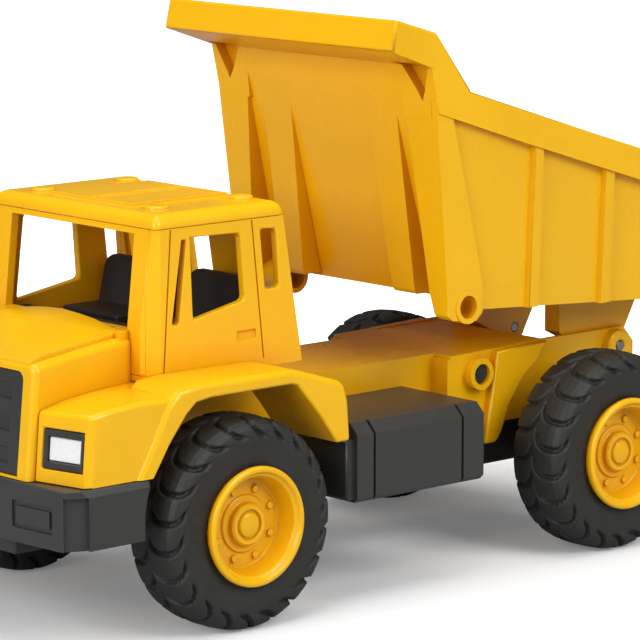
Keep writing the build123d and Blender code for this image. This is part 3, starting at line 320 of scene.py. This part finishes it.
def moulded_plastic(name, colour, detail, rough, grain=1.0, edge_wear_and_highlight_tint=1.25, cloud=0.05, dust=0.0,
                    shine=0.5, deep=0.0):
    """Injection moulded plastic: clouded colour, grain, slow waves, edges lightened by rubbing and by a
    painted highlight, light scratches and painted shade in recesses.

    grain multiplies the height of the grain, the edge tint lightens the edges, both as rubbed wear and as a
    painted highlight, cloud is how far the colour drifts, dust how much dust lies on it, shine its
    reflection, and deep how much shade is painted into its recesses.
    """
    nodes = new_finish(name)
    place = nodes.place()
    broad = nodes.noise(place, 70 * MM, 3.0)
    fine = nodes.noise(place, 6 * MM, 4.0, 0.65)
    shade = nodes.blend(nodes.spread(broad, 0.3, 0.7), tint(colour, 1.0 - cloud), tint(colour, 1.0 + cloud))
    shade = nodes.blend(nodes.spread(fine, 0.62, 0.80, 0.0, 0.35), shade, tint(colour, 1.0 - 2 * cloud))
    # Edges are lightened partly as rubbed wear and partly as a painted highlight.
    edges = nodes.maths("MULTIPLY", nodes.edge_mask(0.9 * MM), nodes.spread(fine, 0.35, 0.65, 0.4, 1.0))
    shade = nodes.blend(nodes.maths("MULTIPLY", edges, detail.wear), shade, tint(colour, edge_wear_and_highlight_tint, 0.015))
    marks = nodes.maths("MAXIMUM", *(scratches(nodes, place, turn) for turn in SCRATCH_TURNS))
    shade = nodes.blend(nodes.maths("MULTIPLY", marks, 0.35 * detail.wear), shade, tint(colour, 1.15, 0.05))
    if dust:
        shade = dusted(nodes, shade, fine, dust)
    # Painted shade: recesses are darkened towards deep orange.
    if deep:
        shade = painted_recess_shade(nodes, shade, colour, deep)
    rubbed = nodes.maths("MULTIPLY", nodes.maths("MAXIMUM", edges, marks), 0.25 * detail.wear)
    roughness = nodes.maths("ADD", nodes.spread(broad, 0.3, 0.7, rough - 0.04, rough + 0.05), rubbed)
    slow = nodes.bump(nodes.noise(place, 26 * MM, 1.0), detail.sink_depth)
    rippled = nodes.bump(nodes.noise(place, detail.grain_size, 2.0), detail.grain_depth * grain, slow)
    return nodes.surface(Base_Color=shade, Roughness=roughness, Normal=rippled, Specular_IOR_Level=shine)


def tyre_plastic(name, colour, detail):
    """Soft matt plastic: cloudy, dusty in small specks, greyed on its edges, with a coarse grain."""
    nodes = new_finish(name)
    place = nodes.place()
    broad = nodes.noise(place, 20 * MM, 4.0, 0.6)
    fine = nodes.noise(place, 1.6 * MM, 3.0, 0.6)
    shade = nodes.blend(nodes.spread(broad, 0.35, 0.65), tint(colour, 0.85), tint(colour, 1.2))
    dusty = nodes.blend(nodes.spread(fine, 0.55, 0.75, 0.0, 0.25), shade, DUSTY_TYRE)
    edges = nodes.maths("MULTIPLY", nodes.edge_mask(1.0 * MM), nodes.spread(fine, 0.3, 0.6, 0.5, 1.0))
    rubbed = nodes.blend(nodes.maths("MULTIPLY", edges, 0.5), dusty, RUBBED_TYRE)
    roughness = nodes.spread(broad, 0.3, 0.7, 0.50, 0.64)
    grain = nodes.bump(nodes.noise(place, 0.6 * MM, 3.0, 0.6), detail.grain_depth * 2.0)
    slow = nodes.bump(broad, detail.sink_depth * 0.6, grain)
    return nodes.surface(Base_Color=rubbed, Roughness=roughness, Normal=slow)


def drawn_steel(name, colour, detail):
    """Steel rod with fine rings round it and darker patches."""
    nodes = new_finish(name)
    place = nodes.place()
    stretched = nodes.add("ShaderNodeMapping", {"Vector": place, "Scale": (1.0, 30.0, 1.0)})
    rings = nodes.noise(stretched.outputs["Vector"], 10 * MM, 3.0)
    patches = nodes.noise(place, 8 * MM, 3.0)
    shade = nodes.blend(nodes.spread(patches, 0.4, 0.7), tint(colour, 1.0), tint(colour, 0.75))
    roughness = nodes.spread(rings, 0.3, 0.7, 0.25, 0.42)
    normal = nodes.bump(rings, detail.grain_depth)
    return nodes.surface(Base_Color=shade, Metallic=1.0, Roughness=roughness, Normal=normal)


def lamp_silver(name, colour, detail):
    """Silvery lamp plate: bright and even, with a faint cloud and darker specks where it has worn."""
    nodes = new_finish(name)
    place = nodes.place()
    cloud = nodes.noise(place, 5 * MM, 2.0)
    specks = nodes.spread(nodes.noise(place, 0.9 * MM, 3.0), 0.68, 0.74, 0.0, detail.wear)
    even = nodes.blend(nodes.spread(cloud, 0.3, 0.7), tint(colour, 0.97), tint(colour, 1.03))
    shade = nodes.blend(specks, even, tint(colour, 0.45))
    roughness = nodes.spread(cloud, 0.3, 0.7, 0.20, 0.32)
    normal = nodes.bump(cloud, detail.grain_depth)
    return nodes.surface(Base_Color=shade, Roughness=roughness, Normal=normal)


def build_finishes(scene):
    """Every material of the truck, by the record's slot name."""
    colours, detail = scene.truck_colours, scene.truck_detail
    return {
        "yellow_plastic": moulded_plastic("yellow_plastic_finish", colours.body, detail, rough=0.27,
                                          edge_wear_and_highlight_tint=1.12, cloud=0.035, shine=0.40, deep=0.8),
        "dark_plastic": moulded_plastic("dark_plastic_finish", colours.trim, detail, rough=0.36,
                                        grain=2.0, edge_wear_and_highlight_tint=2.2, cloud=0.10, dust=0.10),
        "black_plastic": moulded_plastic("black_plastic_finish", colours.seat, detail, rough=0.52,
                                         grain=2.5, edge_wear_and_highlight_tint=2.0, cloud=0.12, dust=0.12),
        "tyre": tyre_plastic("tyre_finish", colours.tyre, detail),
        "steel": drawn_steel("steel_finish", colours.steel, detail),
        "lamp_silver": lamp_silver("lamp_silver_finish", colours.lamp, detail),
    }


FINISHES = {}


def finish_for(slot):
    """The slot's material; all of them are made when the first is asked for."""
    if not FINISHES:
        FINISHES.update(build_finishes(bpy.context.scene))
    return FINISHES[slot]


# ---------------------------------------------------------------- mouldings

# Edges that turn more than this are rounded, and faces that turn less than FLAT are one face.
SHARP = math.radians(24)
FLAT = math.radians(0.4)
# Cosine under which an edge no longer runs on into the next.
STRAIGHT = math.cos(math.radians(50))
# Points nearer than this are one point.
SAME_POINT = 0.002 * MM
# How much of a neighbouring edge a rounding may use, alone on it and where another comes from its far end.
ALONE_SHARE = 0.85
SHARED_SHARE = 0.45
# Length of an edge that runs through a panel: least and most.
CORNER_LENGTH = (1.6 * MM, 5.5 * MM)
# Share of its rounding that an edge near a fold keeps, for each round of easing.
EASINGS = (0.6, 0.6, 0.5, 0.5, 0.4, 0.0, 0.0, 0.0)
# A rounding below this share of the radius is left out, and the edge stays sharp.
LEAST_ROUNDING = 0.12
# Twice the area of a triangle that is too small to judge.
SMALLEST_AREA = 2e-4 * MM * MM
# A triangle is folded where its normal's cosine to the solid or to its own face is less than these.
LEAST_COSINE_TO_SOLID = 0.25
LEAST_COSINE_TO_FACE = 0.5
# Or where it lies further than this off the solid, as a share of the radius.
MOST_GAP = 0.5
# How far round a fold the edges are eased, as a multiple of the radius.
FOLD_REACH = 2.2
# Decimals of a metre at which two corners of folds count as one.
CORNER_DECIMALS = 5
TINIEST_SQUARE = 1e-18


def edge_room(edge, sharp):
    """How far a rounding may reach from this edge before it meets something else."""
    room = math.inf
    for vertex in edge.verts:
        along = (edge.other_vert(vertex).co - vertex.co).normalized()
        for other in vertex.link_edges:
            if other is edge:
                continue
            far = other.other_vert(vertex)
            away = (vertex.co - far.co).normalized()
            if other in sharp and along.dot(away) > STRAIGHT:
                continue
            shared = any(third in sharp for third in far.link_edges if third is not other)
            room = min(room, other.calc_length() * (SHARED_SHARE if shared else ALONE_SHARE))
    return room


def is_opening_corner(edge):
    """Whether an edge is the inner corner of an opening through a panel."""
    return not edge.is_convex and CORNER_LENGTH[0] < edge.calc_length() < CORNER_LENGTH[1]


def prepared_mesh(source, radius, widest, split):
    """A copy of a mesh, with how far each sharp edge can be rounded stored as its bevel weight.

    Inner corners of openings may be rounded up to widest and all other edges up to radius.
    split cuts faces of many sides into triangles, so that the rounding can't fold them.
    """
    mesh = source.copy()
    work = bmesh.new()
    work.from_mesh(mesh)
    bmesh.ops.remove_doubles(work, verts=work.verts, dist=SAME_POINT)
    bmesh.ops.dissolve_limit(work, angle_limit=FLAT, verts=work.verts, edges=work.edges)
    weights = work.edges.layers.float.new("bevel_weight_edge")
    sharp = {edge for edge in work.edges
             if len(edge.link_faces) == 2 and edge.calc_face_angle(0.0) > SHARP}
    for edge in sharp:
        most = widest if is_opening_corner(edge) else radius
        edge[weights] = min(most, edge_room(edge, sharp)) / widest
    if split:
        many = [face for face in work.faces if len(face.verts) > 4]
        bmesh.ops.triangulate(work, faces=many, quad_method="BEAUTY", ngon_method="BEAUTY")
    for face in work.faces:
        face.smooth = True
    work.to_mesh(mesh)
    work.free()
    if "custom_normal" in mesh.attributes:
        mesh.attributes.remove(mesh.attributes["custom_normal"])
    return mesh


def fold_corners(mesh, tree, radius):
    """Corners of the triangles that a rounding has turned over or thrown off the solid's surface."""
    corners = []
    mesh.calc_loop_triangles()
    for triangle in mesh.loop_triangles:
        ends = [mesh.vertices[index].co for index in triangle.vertices]
        across = (ends[1] - ends[0]).cross(ends[2] - ends[0])
        if across.length < SMALLEST_AREA:
            continue
        normal = across.normalized()
        _, solid_normal, _, gap = tree.find_nearest((ends[0] + ends[1] + ends[2]) / 3)
        face_normal = mesh.polygons[triangle.polygon_index].normal
        turned = (normal.dot(solid_normal) < LEAST_COSINE_TO_SOLID
                  or normal.dot(face_normal) < LEAST_COSINE_TO_FACE)
        if turned or gap > MOST_GAP * radius:
            corners += ends
    return corners


def edges_near(mesh, corners, reach, by_ends):
    """Numbers of the edges within reach of any corner, measured to their ends or to their whole length."""
    ends = np.array([mesh.vertices[index].co for edge in mesh.edges for index in edge.vertices])
    start, along = ends[0::2], ends[1::2] - ends[0::2]
    squared = np.maximum((along ** 2).sum(axis=1), TINIEST_SQUARE)
    near = set()
    for corner in np.unique(np.round(np.array(corners), CORNER_DECIMALS), axis=0):
        part = np.clip(((corner - start) * along).sum(axis=1) / squared, 0.0, 1.0)
        if by_ends:
            part = np.round(part)
        gaps = np.linalg.norm(start + part[:, None] * along - corner, axis=1)
        near.update(np.nonzero(gaps < reach)[0].tolist())
    return near


def rounded_copy(piece):
    """A mesh of its own, with the shape that the piece's modifiers give."""
    piece.data.update_tag()
    bpy.context.view_layer.update()
    depsgraph = bpy.context.evaluated_depsgraph_get()
    return bpy.data.meshes.new_from_object(piece.evaluated_get(depsgraph), depsgraph=depsgraph,
                                           preserve_all_data_layers=True)


def ease_folds(piece, tree, radius, least):
    """Narrow the rounding near any fold until the piece has none, then keep the rounded mesh itself.

    An edge whose weight falls to least or less stays sharp. The mesh with the fewest folds is kept.
    """
    mesh = piece.data
    weights = mesh.attributes["bevel_weight_edge"].data
    tried = []
    for share in EASINGS:
        rounded = rounded_copy(piece)
        corners = fold_corners(rounded, tree, radius)
        tried.append((len(corners), rounded))
        if not corners:
            break
        for index in edges_near(mesh, corners, FOLD_REACH * radius, share > 0):
            if weights[index].value > 0:
                eased = weights[index].value * share
                weights[index].value = eased if eased > least else 0.0
                mesh.edges[index].use_edge_sharp = eased <= least
    kept = min(tried, key=lambda entry: entry[0])[1]
    piece.modifiers.clear()
    piece.data = kept
    kept.name = mesh.name + "_rounded"
    for _, rounded in tried:
        if rounded is not kept:
            bpy.data.meshes.remove(rounded)


def stand_in(name, mesh, node):
    """A piece with this mesh that stands for one CAD node and rides on its body."""
    if not mesh.polygons:
        raise RuntimeError(name + " has no faces")
    mesh.name = name
    mesh.materials.clear()
    mesh.materials.append(finish_for(SLOT_OF[node]))
    piece = bpy.data.objects.new(name, mesh)
    bpy.context.scene.collection.objects.link(piece)
    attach(piece, BODY_OF[node])
    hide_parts(node)
    return piece


def build_moulding(node, radius, steps, split, corner):
    """A rounded piece that stands for one CAD node; corner is the radius in its openings' corners."""
    source = NODES[node].data
    widest = max(radius, corner)
    piece = stand_in(node + "_moulding", prepared_mesh(source, radius, widest, split), node)
    bevel = piece.modifiers.new("rounded_edges", "BEVEL")
    bevel.limit_method = "WEIGHT"
    bevel.width = widest
    bevel.segments = steps
    bevel.use_clamp_overlap = False
    bevel.harden_normals = True
    bevel.loop_slide = False
    tree = BVHTree.FromPolygons([vertex.co for vertex in source.vertices],
                                [face.vertices for face in source.polygons])
    ease_folds(piece, tree, widest, LEAST_ROUNDING * radius / widest)
    if not piece.data.polygons:
        raise RuntimeError(piece.name + " lost its faces when its edges were rounded")


def build_group(nodes, radius, split=True, corner=0.0):
    """One moulding for each of these nodes."""
    for node in nodes:
        build_moulding(node, radius, bpy.context.scene.truck_edges.steps, split, corner)
    return {"FINISHED"}


# ---------------------------------------------------------------- tyres

# Half of a tyre's section: radius as a part of the way from the bore to the tread, y as a part of the
# half width, and points on the way to the next row.
SECTION = (
    (1.0, 0.0, 9), (1.0, 0.28, 8), (0.985, 0.55, 8), (0.95, 0.76, 7), (0.88, 0.90, 7), (0.78, 0.975, 6),
    (0.66, 1.0, 5), (0.48, 0.985, 4), (0.30, 0.955, 4), (0.14, 0.95, 3), (0.05, 0.93, 2), (0.0, 0.88, 1),
)
# How sharply the ends of a groove turn back.
BOW_POWER = 3.2
# Where a groove's wall starts and ends, as parts of its half width.
GROOVE_WALL = (0.55, 1.25)
# Where a groove runs out, as parts of its reach.
GROOVE_END = (1.02, 1.30)


def smooth_step(value, low, high):
    """0 below low, 1 above high, and a smooth curve between."""
    part = min(1.0, max(0.0, (value - low) / (high - low)))
    return part * part * (3.0 - 2.0 * part)


def section_points(tread, half_width, bead):
    """Half of a tyre's section from the middle of the tread to the bore, as radius and y."""
    points = []
    for (high, wide, count), (next_high, next_wide, _) in zip(SECTION, SECTION[1:]):
        for step in range(count):
            part = step / count
            points.append((bead + (tread - bead) * (high + (next_high - high) * part),
                           half_width * (wide + (next_wide - wide) * part)))
    high, wide, _ = SECTION[-1]
    points.append((bead + (tread - bead) * high, half_width * wide))
    return points


def whole_section(half):
    """Both halves of a section as radius, y and the way over it from its middle, negative where y is."""
    ways = [0.0]
    for first, second in zip(half, half[1:]):
        ways.append(ways[-1] + math.dist(first, second))
    near = [(radius, y, way) for (radius, y), way in zip(half, ways)]
    return [(radius, -y, -way) for radius, y, way in near[:0:-1]] + near


def groove_depth(along, across, pitch, settings):
    """How far a point lies below the lug tops.

    along is the way round the tread and across the way over it from the middle, down the shoulder.
    Each groove is a shallow bow whose ends turn back along the tread.
    """
    part = abs(across - settings.bow_middle) / settings.bow_reach
    if part >= GROOVE_END[1]:
        return 0.0
    near = (along + settings.bow_turn * part ** BOW_POWER) % pitch
    near = min(near, pitch - near)
    slope = settings.bow_turn * BOW_POWER * part ** (BOW_POWER - 1.0) / settings.bow_reach
    near /= math.sqrt(1.0 + slope * slope)
    low, high = GROOVE_WALL
    wall = 1.0 - smooth_step(near, settings.groove_half * low, settings.groove_half * high)
    fade = 1.0 - smooth_step(part, *GROOVE_END)
    return settings.groove_depth * wall * fade


def ring_faces(count, wide):
    """Faces of a closed ring of count sections, each of which is a loop of wide points."""
    faces = []
    for turn in range(count):
        here, there = turn * wide, (turn + 1) % count * wide
        for i in range(wide):
            beside = (i + 1) % wide
            faces.append((here + i, there + i, there + beside, here + beside))
    return faces


def tyre_mesh(node):
    """A tyre with bowed grooves, round the axle of the CAD node that it stands for."""
    settings = bpy.context.scene.truck_tyres
    corners = [Vector(corner) for corner in NODES[node].bound_box]
    low = Vector([min(corner[axis] for corner in corners) for axis in range(3)])
    high = Vector([max(corner[axis] for corner in corners) for axis in range(3)])
    middle = (low + high) / 2
    section = whole_section(section_points(settings.tread, (high.y - low.y) / 2, settings.bead))
    count = settings.lugs * settings.steps
    pitch = 2 * math.pi * settings.tread / settings.lugs
    vertices = []
    for turn in range(count):
        angle = 2 * math.pi * turn / count
        along = angle * settings.tread
        for index, (radius, y, way) in enumerate(section):
            # The lugs of one half stand against the grooves of the other.
            shift = 0.0 if way > 0 else pitch / 2
            depth = groove_depth(along + shift, abs(way), pitch, settings)
            before = section[max(index - 1, 0)]
            after = section[min(index + 1, len(section) - 1)]
            out = Vector((after[1] - before[1], before[0] - after[0])).normalized()
            r, y = radius - depth * out.x, y - depth * out.y
            vertices.append((middle.x + r * math.sin(angle), middle.y + y, middle.z + r * math.cos(angle)))
    mesh = bpy.data.meshes.new(node + "_tread")
    mesh.from_pydata(vertices, [], ring_faces(count, len(section)))
    mesh.update()
    mesh.shade_smooth()
    return mesh


# ---------------------------------------------------------------- operators of the pieces

class DUMPTRUCK_OT_cab(bpy.types.Operator):
    """Build the cab's panels, floor and roof"""

    bl_idname = "dump_truck.cab"
    bl_label = "Cab"

    def execute(self, context):
        edges = context.scene.truck_edges
        build_group(("cab_side_left", "cab_side_right", "cab_rear_wall", "cab_windscreen_frame"),
                    edges.panel, corner=edges.corner)
        return build_group(("cab_floor", "cab_roof"), edges.panel)


class DUMPTRUCK_OT_seats(bpy.types.Operator):
    """Build the seats and the cab's inside"""

    bl_idname = "dump_truck.seats"
    bl_label = "Seats"

    def execute(self, context):
        return build_group(("seat_left", "seat_right", "cab_interior"), context.scene.truck_edges.block)


class DUMPTRUCK_OT_nose(bpy.types.Operator):
    """Build the hood, the fenders and the grille"""

    bl_idname = "dump_truck.nose"
    bl_label = "Hood, fenders and grille"

    def execute(self, context):
        edges = context.scene.truck_edges
        build_group(("hood", "fender_left", "fender_right"), edges.shell)
        return build_group(("grille",), edges.panel)


class DUMPTRUCK_OT_lamps(bpy.types.Operator):
    """Build the headlamps"""

    bl_idname = "dump_truck.lamps"
    bl_label = "Headlamps"

    def execute(self, context):
        edges = context.scene.truck_edges
        return build_group(("headlamp_bezel_left", "headlamp_bezel_right",
                            "headlamp_lens_left", "headlamp_lens_right"), edges.wheel)


class DUMPTRUCK_OT_chassis(bpy.types.Operator):
    """Build the frame, the underframe and the axle carriers"""

    bl_idname = "dump_truck.chassis"
    bl_label = "Frame"

    def execute(self, context):
        edges = context.scene.truck_edges
        build_group(("frame",), edges.shell)
        build_group(("underframe", "axle_carrier_front", "axle_carrier_rear"), edges.block)
        return build_group(("boss_plug_left", "boss_plug_right"), edges.wheel, split=False)


class DUMPTRUCK_OT_bumper(bpy.types.Operator):
    """Build the bumper and the tool boxes"""

    bl_idname = "dump_truck.bumper"
    bl_label = "Bumper and tool boxes"

    def execute(self, context):
        return build_group(("bumper", "tool_box_left", "tool_box_right"), context.scene.truck_edges.block)


class DUMPTRUCK_OT_bed(bpy.types.Operator):
    """Build the load bed"""

    bl_idname = "dump_truck.bed"
    bl_label = "Load bed"

    def execute(self, context):
        return build_group(("bed",), context.scene.truck_edges.shell)


class DUMPTRUCK_OT_tyres(bpy.types.Operator):
    """Build the four tyres"""

    bl_idname = "dump_truck.tyres"
    bl_label = "Tyres"

    def execute(self, context):
        for place in WHEELS:
            node = "tyre_" + place
            stand_in(node + "_tread", tyre_mesh(node), node)
        return {"FINISHED"}


class DUMPTRUCK_OT_rims(bpy.types.Operator):
    """Build the four rims"""

    bl_idname = "dump_truck.rims"
    bl_label = "Rims"

    def execute(self, context):
        return build_group(["rim_" + place for place in WHEELS], context.scene.truck_edges.wheel)


class DUMPTRUCK_OT_rods(bpy.types.Operator):
    """Build the axles and the hinge pin"""

    bl_idname = "dump_truck.rods"
    bl_label = "Axles and hinge pin"

    def execute(self, context):
        return build_group(("axle_front", "axle_rear", "hinge_pin"), context.scene.truck_edges.wheel,
                           split=False)


# ---------------------------------------------------------------- studio

FLOOR_HALF = 6.0
# name, power property, place, target, width, height
LAMPS = (
    ("key_lamp", "key_power", (-0.35, 1.9, 1.35), (0.0, 0.0, 0.10), 1.3, 1.3),
    ("front_lamp", "front_power", (2.2, 0.5, 1.0), (0.0, 0.0, 0.10), 1.6, 1.2),
    ("top_lamp", "top_power", (0.1, 0.0, 2.0), (0.0, 0.0, 0.0), 1.6, 1.6),
)
# Distances from the truck's middle between which the floor's glow grows, and how strong it is at each.
GLOW_REACH = (0.23, 0.44)
GLOW = (0.13, 1.0)
# How much of its colour the floor throws back on the truck.
BOUNCE = 0.5
# How much of the room light shows in reflections.
REFLECTED_SHARE = 0.35
SENSOR_WIDTH = 36.0
FARTHEST_SEEN = 30.0


def aimed(place, target):
    """The turn that makes a lamp or camera at place look at target."""
    return (Vector(target) - Vector(place)).to_track_quat("-Z", "Y").to_euler()


def floor_material(colour):
    """Pale floor with a faint mottle; to the camera it glows white away from the truck."""
    nodes = new_finish("floor_finish")
    place = nodes.place()
    mottle = nodes.noise(place, 40 * MM, 4.0)
    shade = nodes.blend(nodes.spread(mottle, 0.3, 0.7), tint(colour, 0.99), tint(colour, 1.01))
    matt = nodes.add("ShaderNodeBsdfDiffuse", {"Color": shade})
    away = nodes.add("ShaderNodeVectorMath", {0: place}, operation="LENGTH").outputs["Value"]
    glow = nodes.add("ShaderNodeEmission", {"Color": WHITE,
                                            "Strength": nodes.spread(away, *GLOW_REACH, *GLOW)})
    bright = nodes.add("ShaderNodeAddShader", {0: matt.outputs[0], 1: glow.outputs[0]})
    seen = nodes.add("ShaderNodeLightPath").outputs["Is Camera Ray"]
    dull = nodes.add("ShaderNodeBsdfDiffuse", {"Color": tint(colour, BOUNCE)})
    chosen = nodes.add("ShaderNodeMixShader", {0: seen, 1: dull.outputs[0], 2: bright.outputs[0]})
    nodes.add("ShaderNodeOutputMaterial", {"Surface": chosen.outputs[0]})
    return nodes.owner


def build_floor(colour):
    """A flat square under the truck."""
    mesh = bpy.data.meshes.new("studio_floor")
    half = FLOOR_HALF
    mesh.from_pydata([(-half, -half, 0), (half, -half, 0), (half, half, 0), (-half, half, 0)], [],
                     [(0, 1, 2, 3)])
    mesh.materials.append(floor_material(colour))
    floor = bpy.data.objects.new("studio_floor", mesh)
    bpy.context.scene.collection.objects.link(floor)


def place_aimed(name, data, place, target):
    """An object with this lamp or camera, at place and turned to target."""
    holder = bpy.data.objects.new(name, data)
    holder.location = place
    holder.rotation_euler = aimed(place, target)
    bpy.context.scene.collection.objects.link(holder)
    return holder


def build_lamps(studio):
    """Soft rectangular lamps round the truck."""
    for name, power, place, target, wide, high in LAMPS:
        lamp = bpy.data.lights.new(name, "AREA")
        lamp.shape = "RECTANGLE"
        lamp.size, lamp.size_y = wide, high
        lamp.energy = getattr(studio, power)
        place_aimed(name, lamp, place, target)


def build_world(strength):
    """Even light all round, seen as white."""
    world = bpy.data.worlds.new("studio_room")
    bpy.context.scene.world = world
    nodes = Nodes(world)
    path = nodes.add("ShaderNodeLightPath").outputs
    seen = nodes.maths("MAXIMUM", path["Is Camera Ray"], path["Is Transmission Ray"])
    dimmed = nodes.spread(path["Is Glossy Ray"], 0.0, 1.0, strength, strength * REFLECTED_SHARE)
    lit = nodes.add("ShaderNodeBackground", {"Color": WHITE, "Strength": dimmed})
    white = nodes.add("ShaderNodeBackground", {"Color": WHITE, "Strength": 1.0})
    chosen = nodes.add("ShaderNodeMixShader", {0: seen, 1: lit.outputs[0], 2: white.outputs[0]})
    nodes.add("ShaderNodeOutputWorld", {"Surface": chosen.outputs[0]})


def build_camera(studio):
    """The camera, which the scene then looks through."""
    camera = bpy.data.cameras.new("truck_camera")
    camera.lens = studio.lens
    camera.sensor_width = SENSOR_WIDTH
    camera.clip_end = FARTHEST_SEEN
    bpy.context.scene.camera = place_aimed("truck_camera", camera, studio.camera_place,
                                           studio.camera_target)


class DUMPTRUCK_OT_studio(bpy.types.Operator):
    """Build the floor, the lamps and the camera"""

    bl_idname = "dump_truck.studio"
    bl_label = "Studio"

    def execute(self, context):
        studio = context.scene.truck_studio
        build_floor(studio.floor)
        build_lamps(studio)
        build_world(studio.sky)
        build_camera(studio)
        context.scene.view_settings.view_transform = "Standard"
        return {"FINISHED"}


# ---------------------------------------------------------------- panel

OPERATORS = (DUMPTRUCK_OT_cab, DUMPTRUCK_OT_seats, DUMPTRUCK_OT_nose, DUMPTRUCK_OT_lamps,
             DUMPTRUCK_OT_chassis, DUMPTRUCK_OT_bumper, DUMPTRUCK_OT_bed, DUMPTRUCK_OT_tyres,
             DUMPTRUCK_OT_rims, DUMPTRUCK_OT_rods, DUMPTRUCK_OT_studio)
# property on the scene, its group
SETTINGS = (("truck_colours", FinishColours), ("truck_edges", EdgeRadii), ("truck_tyres", TyreShape),
            ("truck_detail", SurfaceDetail), ("truck_studio", StudioSettings))


class DUMPTRUCK_PT_sidebar(bpy.types.Panel):
    """Lists the truck's settings and the steps that build it"""

    bl_idname = "DUMPTRUCK_PT_sidebar"
    bl_label = "Toy Dump Truck"
    bl_space_type = "VIEW_3D"
    bl_region_type = "UI"
    bl_category = "Dump Truck"

    def draw(self, context):
        for attribute, group in SETTINGS:
            box = self.layout.box()
            box.label(text=group.__doc__.rstrip("."))
            for key in group.__annotations__:
                box.prop(getattr(context.scene, attribute), key)
        for operator in OPERATORS:
            self.layout.operator(operator.bl_idname)


CLASSES = (*(group for _, group in SETTINGS), *OPERATORS, DUMPTRUCK_PT_sidebar)


def register():
    """Make the classes known to Blender and put the settings on the scene."""
    for cls in CLASSES:
        bpy.utils.register_class(cls)
    for attribute, group in SETTINGS:
        setattr(bpy.types.Scene, attribute, PointerProperty(type=group))


def unregister():
    """Take the settings off the scene and forget the classes."""
    for attribute, _ in SETTINGS:
        delattr(bpy.types.Scene, attribute)
    for cls in reversed(CLASSES):
        bpy.utils.unregister_class(cls)


def main():
    """Register the classes and build every piece in order."""
    register()
    for operator in OPERATORS:
        group, step = operator.bl_idname.split(".")
        getattr(getattr(bpy.ops, group), step)()


if __name__ == "__main__":
    main()
